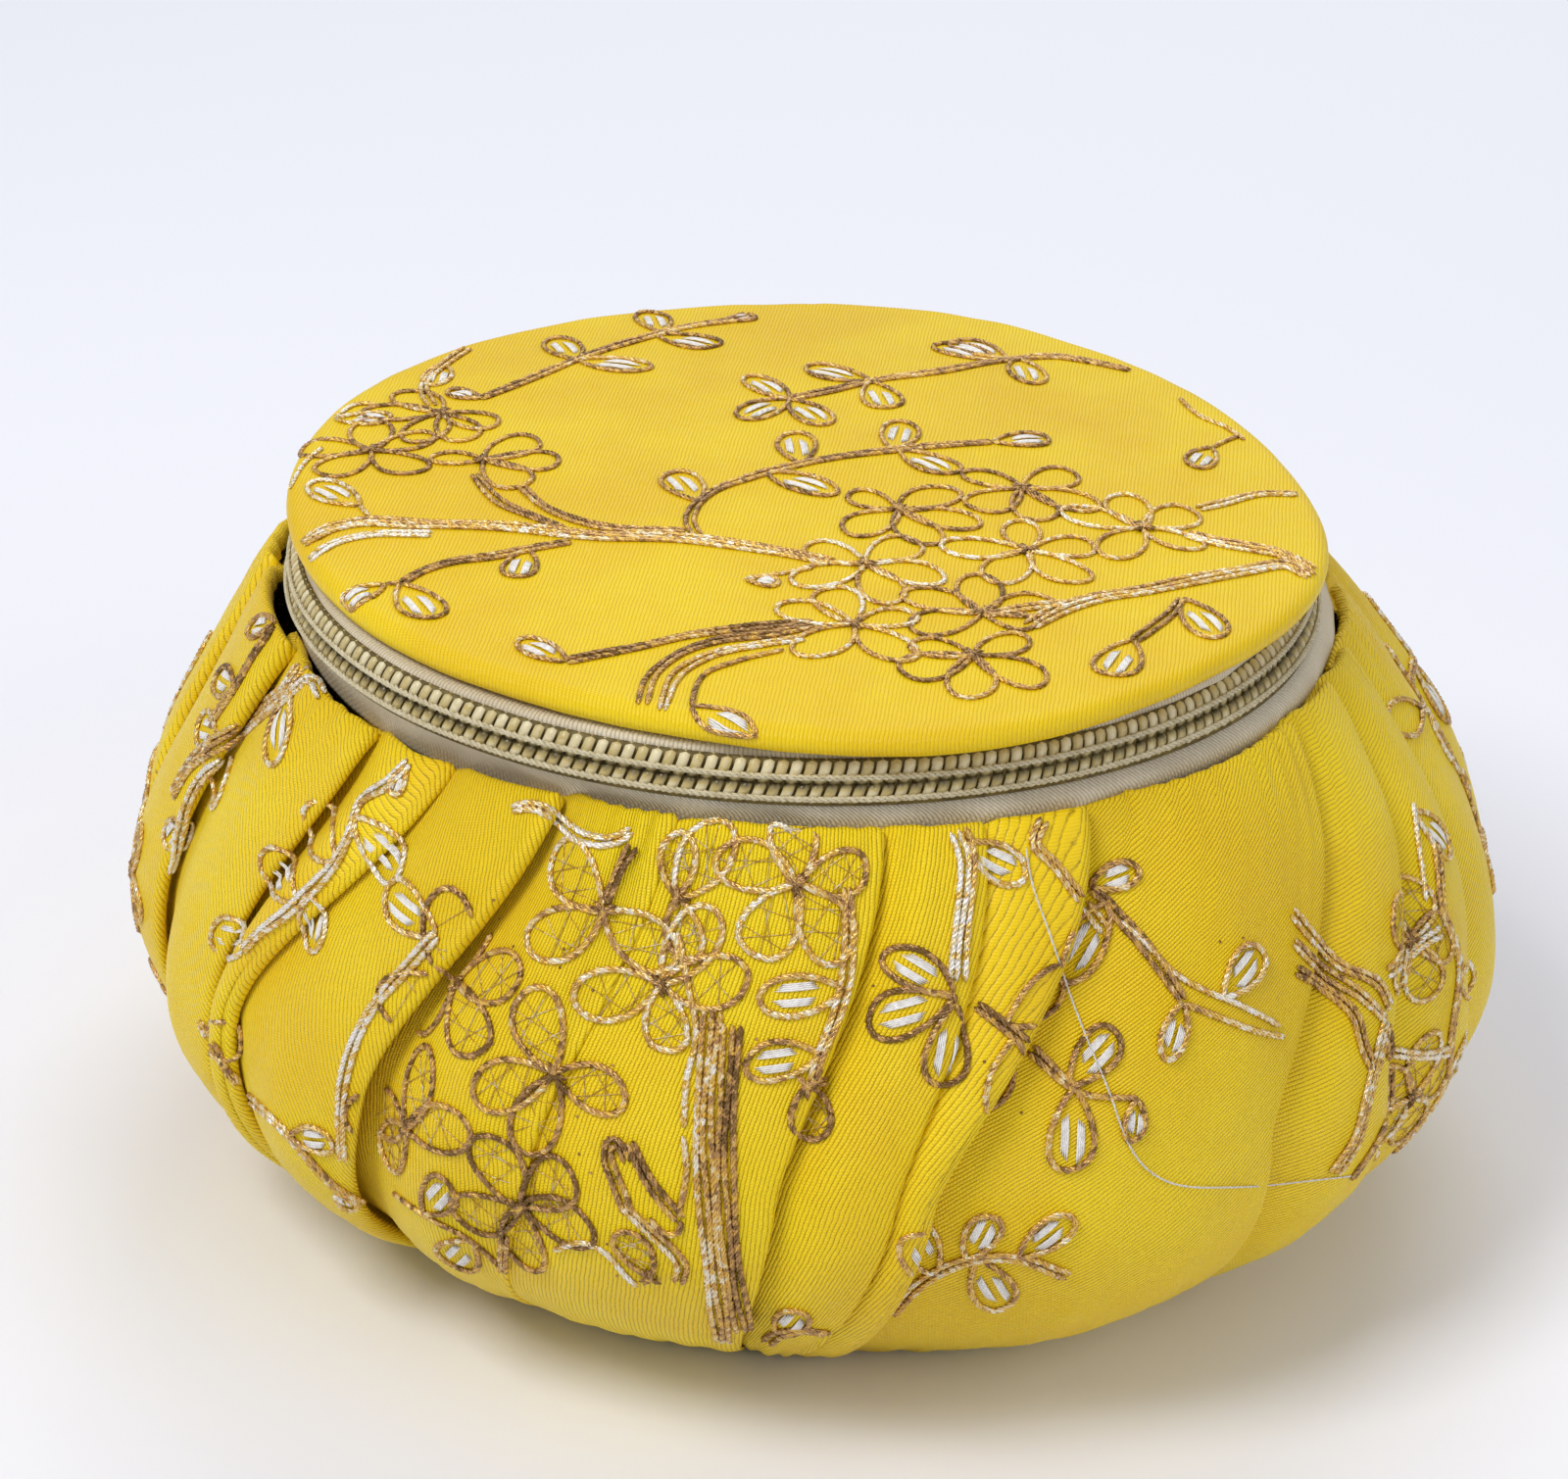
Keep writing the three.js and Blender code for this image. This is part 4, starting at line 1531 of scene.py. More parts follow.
    def cord_path(self, row: CoilRow) -> tuple[np.ndarray, np.ndarray]:
        """Gives the line of a row's stitched cord and the way it faces.

        Args:
            row: the row that the cord holds.

        Returns:
            Points, and a direction at each.
        """
        arc = np.linspace(-self.half_angle, self.half_angle, 900)
        up = np.full(arc.shape, row.cord * MM)
        line = self.place(arc, np.full(arc.shape, 0.12 * MM), up)
        face = self.place(arc, np.full(arc.shape, 1.12 * MM), up) - line
        return line, face

    def slider(self, finishes: Finishes) -> bpy.types.Object:
        """Builds the slider and its pull, which lie along the chain at the closed end.

        Args:
            finishes: the bag's materials.

        Returns:
            The slider, in one piece.
        """
        low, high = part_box("zip_slider")
        level = np.array((low.z + high.z) / 2)
        blocks = []
        for part in SLIDER_PARTS:
            bpy.ops.object.select_all(action="DESELECT")
            bpy.ops.mesh.primitive_cube_add(size=1.0)
            block = bpy.context.active_object
            block.name = part.name
            bpy.ops.object.mode_set(mode="EDIT")
            bpy.ops.mesh.select_all(action="SELECT")
            bpy.ops.transform.resize(value=tuple(s * MM for s in part.size))
            bpy.ops.mesh.bevel(offset=part.bevel * MM, segments=3, affect="EDGES")
            bpy.ops.object.mode_set(mode="OBJECT")
            radius = np.array(self.slider_radius + part.out * MM)
            block.rotation_euler = (0.0, 0.0, math.radians(part.angle))
            block.location = polar(np.array(part.angle), radius, level, self.centre)
            bpy.ops.object.transform_apply(location=True, rotation=True, scale=True)
            blocks.append(block)
        bpy.ops.object.select_all(action="DESELECT")
        for block in blocks:
            block.select_set(True)
        bpy.context.view_layer.objects.active = blocks[0]
        bpy.ops.object.join()
        piece = bpy.context.active_object
        piece.name = "slider"
        bpy.ops.object.shade_smooth_by_angle(angle=math.radians(40))
        settle(piece, "slider_metal", finishes.brass, "zip_slider")
        return piece


class Needlework:
    """Threads gathered into one mesh: twisted cords, satin bars and hair-fine nets."""

    def __init__(self, name: str) -> None:
        """Starts an empty piece of needlework.

        Args:
            name: the piece's name.
        """
        self.name = name
        self.points: list[np.ndarray] = []
        self.faces: list[np.ndarray] = []
        self.tones: list[np.ndarray] = []
        self.lays: list[np.ndarray] = []
        self.count = 0

    @staticmethod
    def resample(line: np.ndarray, step: float) -> tuple[np.ndarray, np.ndarray]:
        """Spaces points evenly along a line, and gives the distance run at each.

        Args:
            line: points.
            step: metres between the new points.

        Returns:
            The new points, and the distance run.
        """
        run = run_along(line)
        count = max(3, int(run[-1] / step) + 1)
        at = np.linspace(0, run[-1], count)
        return np.stack([np.interp(at, run, line[:, k]) for k in range(3)], axis=-1), at

    def tube(self, line: np.ndarray, facing: np.ndarray, radius: np.ndarray, tone: np.ndarray,
             sides: int) -> None:
        """Adds one closed tube.

        Args:
            line: its centre line.
            facing: a direction across it at each point.
            radius: its radius at each point.
            tone: its tone at each point.
            sides: facets round it.
        """
        ahead = unit(np.gradient(line, axis=0))
        side = unit(np.cross(facing, ahead))
        over = np.cross(ahead, side)
        turn = np.arange(sides) * 2 * math.pi / sides
        ring = (
            side[:, None] * np.cos(turn)[None, :, None] + over[:, None] * np.sin(turn)[None, :, None]
        )
        points = line[:, None] + ring * np.broadcast_to(radius, (len(line),))[:, None, None]
        rows = len(line)
        index = np.arange(rows * sides).reshape(rows, sides) + self.count
        ahead_index = np.roll(index, -1, axis=1)
        walls = np.stack([index[:-1], ahead_index[:-1], ahead_index[1:], index[1:]], axis=-1)
        self.points.append(points.reshape(-1, 3))
        self.faces.extend(walls.reshape(-1, 4).tolist())
        self.faces.append(index[0][::-1].tolist())
        self.faces.append(index[-1].tolist())
        self.tones.append(np.repeat(np.broadcast_to(tone, (rows,)), sides))
        run = run_along(line) / MM
        lay = np.stack(np.broadcast_arrays(np.cos(turn)[None], np.sin(turn)[None], run[:, None]), axis=-1)
        self.lays.append(lay.reshape(-1, 3))
        self.count += rows * sides

    def cord(self, line: np.ndarray, facing: np.ndarray, tone: np.ndarray, strands: int = 2,
             strand: float = 0.24 * MM, twist: float = 1.9 * MM, step: float = 0.34 * MM,
             flat: float = 0.62, sides: int = 4, lift: float = 0.16 * MM) -> None:
        """Adds a cord of strands that wind round each other.

        Args:
            line: the path on the cloth.
            facing: the way the cloth faces at each point of it.
            tone: the cord's place on the colour ramp, one or one at each point.
            strands: how many wind together.
            strand: a strand's radius.
            twist: the length of one turn.
            step: the distance between rings.
            flat: how flat the winding lies, 1 for round.
            sides: facets round a strand.
            lift: how far the cord's middle is above the cloth.
        """
        spaced, run = self.resample(line, step)
        old = run_along(line)
        normal = unit(np.stack([np.interp(run, old, facing[:, k]) for k in range(3)], axis=-1))
        shades = np.interp(run, old, np.broadcast_to(tone, old.shape))
        side = np.cross(normal, unit(np.gradient(spaced, axis=0)))
        ends = np.clip(np.minimum(run, run[-1] - run) / (0.5 * MM), 0.25, 1)
        for number in range(strands):
            turn = 2 * math.pi * (run / twist + number / strands)
            offset = side * np.cos(turn)[:, None] + normal * (np.sin(turn) * flat)[:, None]
            middle = spaced + normal * (lift + strand * 0.5) + offset * strand * ends[:, None]
            shade = shades + 0.10 * (number - (strands - 1) / 2)
            self.tube(middle, normal, strand * ends, shade, sides)

    def build(self, slot: str, material: bpy.types.Material) -> bpy.types.Object:
        """Makes the piece from all its threads.

        Args:
            slot: the record's material slot.
            material: what the threads are made of.

        Returns:
            The piece.
        """
        piece = mesh_piece(self.name, np.concatenate(self.points), self.faces)
        store_value(piece, "tone", np.concatenate(self.tones))
        attribute = piece.data.attributes.new("lay", "FLOAT_VECTOR", "POINT")
        attribute.data.foreach_set("vector", np.concatenate(self.lays).astype(np.float32).reshape(-1))
        settle(piece, slot, material)
        return piece


@dataclass(frozen=True)
class Sprig:
    """Stitching charted in pixels of the reference view: its stem, its cords side by side, and
    the middles of its looped leaves."""

    stem: tuple[Pixel, ...]
    cords: int = 1
    leaves: tuple[Pixel, ...] = ()
    tone: Tone = Tone.GOLD


@dataclass(frozen=True)
class Bloom:
    """A flower charted in pixels of the reference view: its heart and its petals' middles."""

    heart: Pixel
    petals: tuple[Pixel, ...]
    tone: Tone = Tone.GOLD


LID_SPRIGS = (
    Sprig(((1153, 379), (1115, 371), (1077, 365), (1023, 369), (966, 379), (894, 389), (851, 399),
           (805, 408)),
          2, ((1048, 383), (956, 352), (927, 330), (898, 405), (851, 382), (828, 423), (785, 397),
              (773, 420)), Tone.TAUPE),
    Sprig(((712, 547), (703, 535), (709, 518), (725, 504), (765, 488), (816, 475), (865, 466), (923, 459),
           (1012, 452)),
          2, ((696, 495), (813, 458), (819, 494), (917, 446), (946, 472), (1043, 450)), Tone.TAUPE),
    Sprig(((490, 408), (560, 380), (610, 360), (660, 345), (700, 335), (770, 325)),
          2, ((577, 357), (640, 374), (669, 330), (714, 351), (756, 326), (473, 404)), Tone.TAUPE),
    Sprig(((309, 556), (330, 543), (360, 535), (430, 536), (505, 538), (612, 548), (700, 551), (790, 563),
           (850, 575)), 3, ()),
    Sprig(((316, 573), (334, 559), (370, 548), (441, 546)), 2, (), Tone.WHITE),
    Sprig(((375, 527), (366, 517)), 1, ((342, 505),), Tone.SILVER),
    Sprig(((583, 554), (548, 560), (508, 568), (454, 576), (425, 587), (409, 597)),
          2, ((426, 616), (532, 577)), Tone.TAUPE),
    Sprig(((409, 597), (393, 597)), 1, ((368, 606),), Tone.GOLD),
    Sprig(((484, 485), (508, 512), (543, 528), (575, 540)), 2, (), Tone.TAUPE),
    Sprig(((532, 498), (552, 516), (583, 530), (612, 538), (700, 543)), 2, (), Tone.TAUPE),
    Sprig(((478, 356), (454, 372), (432, 397), (441, 415)), 2, ((448, 383),), Tone.GOLD),
    Sprig(((296, 500), (309, 476), (330, 458)), 1, (), Tone.SILVER),
    Sprig(((342, 428), (362, 414), (385, 414)), 1, ((372, 428),), Tone.GOLD),
    Sprig(((577, 676), (601, 671), (655, 661), (700, 650), (760, 642), (830, 636)), 2, ((553, 665),),
          Tone.TAUPE),
    Sprig(((655, 720), (663, 694), (690, 670), (730, 655), (790, 648), (830, 640)), 2, (), Tone.TAUPE),
    Sprig(((675, 726), (688, 692), (720, 672), (770, 660), (820, 652)), 2, (), Tone.GOLD),
    Sprig(((706, 722), (716, 692), (750, 676), (800, 664)), 1, ((738, 736),), Tone.TAUPE),
    Sprig(((1222, 520), (1250, 514), (1281, 506), (1324, 505)), 2, (), Tone.GOLD),
    Sprig(((1210, 546), (1240, 554), (1270, 559), (1306, 566), (1340, 583)), 3, (), Tone.GOLD),
    Sprig(((1051, 640), (1077, 625), (1115, 612), (1166, 604), (1217, 593), (1268, 584), (1319, 579),
           (1338, 590)), 3, ()),
    Sprig(((1206, 612), (1196, 626), (1179, 639), (1156, 655)), 2, ((1138, 680), (1228, 633)), Tone.TAUPE),
    Sprig(((1204, 407), (1222, 425), (1248, 436), (1270, 450)), 1, (), Tone.GOLD),
    Sprig(((1266, 445), (1244, 453), (1236, 458)), 1, ((1227, 468),), Tone.TAUPE),
    Sprig(((760, 592), (800, 586), (830, 581)), 1, ((778, 594),), Tone.GOLD),
    Sprig(((1003, 630), (1040, 622), (1090, 617)), 2, (), Tone.GOLD),
)

LID_BLOOMS = (
    Bloom((379, 461), ((379, 445), (411, 453), (406, 474), (352, 474), (338, 459)), Tone.TAUPE),
    Bloom((451, 423), ((481, 429), (476, 447), (435, 439), (405, 422), (419, 404)), Tone.TAUPE),
    Bloom((494, 471), ((468, 469), (534, 453), (559, 471), (516, 485)), Tone.TAUPE),
    Bloom((917, 522), ((891, 513), (946, 510), (973, 531), (936, 544), (887, 534)), Tone.TAUPE),
    Bloom((1043, 500), ((1014, 491), (1070, 491), (1006, 515), (1058, 522), (1096, 512)), Tone.TAUPE),
    Bloom((1048, 563), ((1042, 548), (1005, 561), (1026, 582), (1078, 580), (1084, 560))),
    Bloom((882, 577), ((910, 564), (851, 566), (929, 584), (897, 598), (839, 588))),
    Bloom((1003, 627), ((1000, 607), (956, 613), (965, 634), (1031, 634), (1050, 618)), Tone.TAUPE),
    Bloom((871, 639), ((857, 619), (902, 633), (838, 658), (899, 656), (834, 628))),
    Bloom((992, 670), ((1020, 661), (960, 663), (942, 683), (1036, 686), (992, 704)), Tone.TAUPE),
    Bloom((1166, 540), ((1150, 519), (1123, 531), (1144, 556), (1196, 551), (1203, 527))),
)

FRONT_SPRIGS = (
    Sprig(((523, 826), (544, 822), (571, 835), (593, 854), (625, 859), (646, 848)), 2, (), Tone.SILVER),
    Sprig(((646, 862), (632, 892), (619, 923)), 2, (), Tone.DARK),
    Sprig(((448, 953), (418, 985), (386, 1022), (362, 1068), (351, 1108), (349, 1148), (351, 1183)),
          2, ((418, 931),), Tone.SILVER),
    Sprig(((865, 905), (866, 945), (865, 988), (851, 1041), (835, 1081), (830, 1105)), 2,
          ((819, 1014), (798, 1081)), Tone.GOLD),
    Sprig(((566, 1273), (596, 1265), (622, 1279), (638, 1299), (652, 1310)), 1, (), Tone.SILVER),
    Sprig(((515, 1257), (514, 1296)), 2, (), Tone.TAUPE),
    Sprig(((641, 1237), (630, 1205), (621, 1176), (624, 1163), (632, 1166), (640, 1185)), 2, (), Tone.TAUPE),
    Sprig(((644, 1164), (658, 1195), (675, 1220), (695, 1243)), 2, (), Tone.TAUPE),
    Sprig(((695, 1243), (694, 1256), (682, 1258), (664, 1240)), 1, (), Tone.TAUPE),
    Sprig(((636, 1228), (664, 1254), (683, 1271), (697, 1290), (692, 1307)), 2, (), Tone.GOLD),
    Sprig(((697, 1158), (700, 1186), (697, 1217), (692, 1240)), 1, (), Tone.GOLD),
    Sprig(((692, 950), (705, 1010), (712, 1055), (700, 1100), (698, 1150)), 1, (), Tone.GOLD),
    Sprig(((728, 1030), (722, 1090), (718, 1150), (721, 1220), (727, 1290), (738, 1366)), 3, (), Tone.GOLD),
    Sprig(((748, 1045), (743, 1120), (740, 1190), (744, 1260), (752, 1320), (762, 1370)), 3, (), Tone.TAUPE),
    Sprig(((776, 1374), (793, 1360), (815, 1354), (845, 1358)), 2, ((806, 1350),), Tone.TAUPE),
    Sprig(((975, 842), (986, 875), (983, 921), (978, 961), (975, 1001)), 3, ((1012, 877),), Tone.SILVER),
    Sprig(((971, 1012), (974, 1024)), 1, ((940, 992), (903, 1038), (967, 1069)), Tone.DARK),
    Sprig(((996, 1025), (1028, 1049), (1057, 1076), (1086, 1103), (1100, 1112)), 2,
          ((1060, 1022), (1028, 1097)), Tone.TAUPE),
    Sprig(((1090, 1108), (1110, 1116), (1137, 1119), (1160, 1120)), 1,
          ((1116, 1079), (1094, 1159), (1158, 1142)), Tone.TAUPE),
    Sprig(((1064, 836), (1054, 862), (1073, 880), (1092, 904), (1110, 928), (1127, 950)), 2, (), Tone.GOLD),
    Sprig(((1097, 899), (1121, 912), (1137, 931), (1159, 955), (1183, 988), (1206, 1022)), 2,
          ((1135, 896), (1102, 970)), Tone.TAUPE),
    Sprig(((1142, 940), (1169, 963), (1201, 995), (1234, 1014), (1262, 1026), (1304, 1046)), 1,
          ((1266, 992),), Tone.SILVER),
    Sprig(((1206, 1024), (1240, 1038), (1271, 1049), (1308, 1057)), 1, ((1198, 1052),), Tone.GOLD),
    Sprig(((1316, 930), (1338, 958), (1365, 985), (1405, 1004), (1416, 1028)), 2, (), Tone.GOLD),
    Sprig(((1318, 961), (1351, 993), (1384, 1014), (1412, 1041)), 2, (), Tone.GOLD),
    Sprig(((1320, 990), (1351, 1009), (1381, 1036), (1389, 1068), (1398, 1089)), 2, (), Tone.TAUPE),
    Sprig(((1413, 1041), (1402, 1084), (1392, 1121), (1381, 1162), (1359, 1196)), 3, (), Tone.GOLD),
    Sprig(((1414, 1050), (1416, 1095), (1414, 1135), (1400, 1167), (1376, 1202)), 2, (), Tone.TAUPE),
    Sprig(((1413, 993), (1432, 977), (1450, 961), (1468, 950)), 2, (), Tone.SILVER),
    Sprig(((1418, 1073), (1450, 1076), (1480, 1070)), 2, (), Tone.SILVER),
    Sprig(((1440, 820), (1446, 870), (1452, 920)), 1, ((1462, 850),), Tone.SILVER),
    Sprig(((420, 778), (398, 800), (372, 816), (358, 853), (344, 880), (316, 910), (295, 929), (267, 951),
           (250, 970)),
          2, ((408, 797), (388, 864), (311, 825), (292, 897), (327, 940), (209, 945)), Tone.SILVER),
    Sprig(((347, 712), (338, 690), (322, 676), (306, 684), (294, 704), (262, 728), (226, 756), (199, 778),
           (178, 812)), 3, ((286, 756),), Tone.GOLD),
    Sprig(((330, 712), (318, 694), (296, 712), (262, 740), (232, 766), (204, 800), (186, 842),
           (172, 890)), 2, ((214, 745), (232, 792), (196, 845)), Tone.SILVER),
    Sprig(((292, 600), (280, 640), (262, 668), (244, 700), (216, 740)), 2, ((268, 640), (232, 696)),
          Tone.TAUPE),
    Sprig(((205, 1040), (240, 1100), (290, 1150), (340, 1205), (380, 1236)), 2,
          ((232, 1062), (262, 1140), (318, 1160), (352, 1222)), Tone.GOLD),
    Sprig(((404, 1216), (440, 1240), (480, 1262), (514, 1292)), 1, ((446, 1222), (470, 1278)), Tone.TAUPE),
    Sprig(((900, 1352), (935, 1310), (985, 1285), (1040, 1282), (1090, 1300)), 2,
          ((940, 1275), (1000, 1262), (1012, 1310), (1064, 1262)), Tone.GOLD),
)

FRONT_BLOOMS = (
    Bloom((617, 930), ((584, 891), (571, 953), (654, 957))),
    Bloom((469, 1003), ((488, 950), (520, 998), (475, 1043), (430, 1036)), Tone.TAUPE),
    Bloom((566, 1095), ((552, 1052), (603, 1108), (547, 1146), (512, 1106)), Tone.TAUPE),
    Bloom((418, 1151), ((432, 1100), (387, 1130), (397, 1180), (463, 1149)), Tone.TAUPE),
    Bloom((676, 1004), ((632, 1014), (716, 950), (722, 1003), (680, 1040))),
    Bloom((532, 1226), ((507, 1186), (574, 1203), (495, 1237), (583, 1247), (537, 1270)), Tone.DARK),
    Bloom((814, 902), ((811, 862), (774, 886), (850, 894), (786, 945), (844, 946))),
    Bloom((692, 916), ((692, 884), (734, 853), (698, 948))),
    Bloom((836, 1106), ((835, 1136),), Tone.DARK),
    Bloom((664, 1300), ((650, 1278),), Tone.TAUPE),
)

STRAY_THREAD = (
    (1046, 864), (1049, 888), (1070, 953), (1089, 1009), (1110, 1063), (1134, 1121), (1148, 1162),
    (1164, 1188), (1183, 1202), (1258, 1210), (1325, 1204), (1378, 1198),
)

NEEDLE_HOLES = (
    (504, 918), (511, 939), (525, 966), (504, 1065), (484, 1081), (572, 987), (626, 1087), (614, 1137),
    (590, 1139), (663, 1067), (605, 1010), (772, 1060), (764, 1086), (892, 1006), (920, 1057),
    (1004, 1083), (1042, 1135), (1125, 1046), (1244, 961), (1267, 957), (592, 1177), (604, 1196),
    (630, 1300), (620, 1268), (700, 1178), (576, 968),
)


@dataclass(frozen=True)
class Motif:
    """A pattern in millimetres, across and up: its stem, its leaves and its flowers' hearts."""

    stem: tuple[Pair, ...]
    leaves: tuple[Pair, ...] = ()
    hearts: tuple[Pair, ...] = ()


BRANCH = Motif(
    ((-3.0, -19.0), (-1.0, -12.0), (1.5, -5.0), (1.0, 3.0), (-2.0, 10.0), (-1.0, 17.0)),
    ((-5.5, -10.0), (4.5, -8.5), (6.0, -1.0), (-3.5, 1.0), (-6.5, 8.5), (2.6, 10.0), (-0.4, 21.0)),
)
CLUSTER = Motif(
    ((4.0, 17.0), (1.0, 11.0), (3.0, 4.0), (0.5, -3.0), (3.0, -10.0), (2.0, -18.0)),
    ((7.0, 1.0), (6.5, -7.0)),
    ((-4.5, 9.0), (-5.0, -8.0)),
)


@dataclass(frozen=True)
class Spot:
    """Where a motif is stitched on the body: degrees, share of the height, and its turn."""

    motif: Motif
    angle: float
    height: float
    turn: float
    mirror: int = 1


HIDDEN_SPOTS = (
    Spot(BRANCH, 88, 0.48, 12), Spot(CLUSTER, 105, 0.46, -8), Spot(BRANCH, 122, 0.50, -16, -1),
    Spot(CLUSTER, 139, 0.44, 10, -1), Spot(BRANCH, 156, 0.47, 14), Spot(CLUSTER, 174, 0.48, -6),
    Spot(BRANCH, 191, 0.46, -12, -1), Spot(CLUSTER, 208, 0.45, 8, -1), Spot(BRANCH, 225, 0.50, 16),
    Spot(CLUSTER, 243, 0.46, -10), Spot(BRANCH, 261, 0.44, -14, -1), Spot(CLUSTER, 277, 0.34, 12, -1),
    Spot(CLUSTER, 62, 0.52, -6), Spot(BRANCH, 97, 0.80, 70), Spot(BRANCH, 131, 0.82, 84, -1),
    Spot(BRANCH, 166, 0.81, 76), Spot(BRANCH, 200, 0.82, 88, -1), Spot(BRANCH, 234, 0.80, 72),
)


@dataclass(frozen=True)
class Patch:
    """The place of a motif: its middle, its own right and up, and the way that it faces."""

    middle: Vector
    right: Vector
    up: Vector
    out: np.ndarray

    @classmethod
    def at(cls, spot: Spot, tree: BVHTree, seam_height: float) -> "Patch":
        """Finds the patch of a spot, from outside towards the bag's axis.

        Args:
            spot: where the motif goes.
            tree: the body's surface.
            seam_height: the height that the spot's share is of.

        Returns:
            The patch, turned and mirrored.
        """
        height = np.array(spot.height * seam_height)
        start = Vector(polar(np.array(spot.angle), np.array(0.12), height, (0.0, 0.0)))
        inward = Vector((-start.x, -start.y, 0.0)).normalized()
        middle = tree.ray_cast(start, inward)[0]
        slope = (spot.height - GatheredBody.belly_level) * 1.5
        facing = (-inward + Vector((0.0, 0.0, slope))).normalized()
        east = Vector((0.0, 0.0, 1.0)).cross(facing).normalized()
        north = facing.cross(east)
        cosine, sine = math.cos(math.radians(spot.turn)), math.sin(math.radians(spot.turn))
        right = (east * cosine + north * sine) * spot.mirror
        return cls(middle, right, north * cosine - east * sine, np.array(facing))

    def lay(self, pairs: Iterable[Pair]) -> np.ndarray:
        """Places points given in millimetres, across and up."""
        return np.array([self.middle + (self.right * x + self.up * y) * MM for x, y in pairs])


@dataclass
class Ground:
    """A surface that needlework lies on, and how far the cloth's face is outside its tree."""

    tree: BVHTree
    cover: float
    reach: float = 10.0 * MM
    jump: float = 2.4 * MM

    @staticmethod
    def curve(path: np.ndarray, step: float) -> np.ndarray:
        """Draws a smooth line through points, with points about a step apart.

        Args:
            path: points, in pixels, millimetres or metres.
            step: the distance between the new points.

        Returns:
            The line's points.
        """
        if len(path) < 3:
            path = np.stack([path[0], (path[0] + path[-1]) / 2, path[-1]])
        run = run_along(path)
        at = np.linspace(0, run[-1], max(5, int(run[-1] / step) + 1))
        return np.stack([smooth_rows(at, run, path[:, k]) for k in range(path.shape[1])], axis=-1)

    def seen(self, view: Viewpoint, pixels: np.ndarray) -> tuple[np.ndarray, np.ndarray]:
        """Casts pixels of the reference view on to the surface.

        Args:
            view: the reference camera.
            pixels: across and down, one row each.

        Returns:
            The points hit and the way the cloth faces there, with misses left out.
        """
        eye = Vector(view.eye)
        spots, ways = [], []
        for x_px, y_px in pixels:
            ray = view.ray(x_px, y_px)
            spot, way, _, _ = self.tree.ray_cast(eye, ray)
            if spot is not None:
                spots.append(spot)
                ways.append(way if way.dot(ray) < 0 else -way)
        return np.array(spots).reshape(-1, 3), np.array(ways).reshape(-1, 3)

    def drape(self, points: np.ndarray, facing: np.ndarray) -> tuple[np.ndarray, np.ndarray]:
        """Drops points on to the surface against a facing direction.

        Args:
            points: near the surface.
            facing: outwards, one direction for all.

        Returns:
            The points on the surface and the way it faces at each.
        """
        out = Vector(facing).normalized()
        spots, ways = [], []
        for point in points:
            start = Vector(point) + out * self.reach
            spot, way, _, _ = self.tree.ray_cast(start, -out, 2 * self.reach)
            if spot is None:
                spot, way, _, _ = self.tree.find_nearest(Vector(point))
            spots.append(spot)
            ways.append(way if way.dot(out) > 0 else -way)
        return np.array(spots), np.array(ways)

    def runs(self, points: np.ndarray, ways: np.ndarray) -> list[tuple[np.ndarray, np.ndarray]]:
        """Splits a line where it leaves one fold for another, and smooths each part.

        Args:
            points: the line.
            ways: the way the cloth faces at each.

        Returns:
            Points and directions of each part, on the cloth's face.
        """
        if len(points) < 4:
            return []
        gaps = np.linalg.norm(np.diff(points, axis=0), axis=1)
        cuts = [0, *(np.nonzero(gaps > self.jump)[0] + 1), len(points)]
        parts = []
        for start, end in zip(cuts, cuts[1:]):
            if end - start < 4:
                continue
            line, way = points[start:end], ways[start:end]
            for _ in range(2):
                inner = (line[:-2] + 2 * line[1:-1] + line[2:]) / 4
                line = np.concatenate([line[:1], inner, line[-1:]])
                turned = (way[:-2] + way[1:-1] + way[2:]) / 3
                way = np.concatenate([turned[:1], turned, turned[-1:]])
            way = unit(way)
            parts.append((line + way * self.cover, way))
        return parts


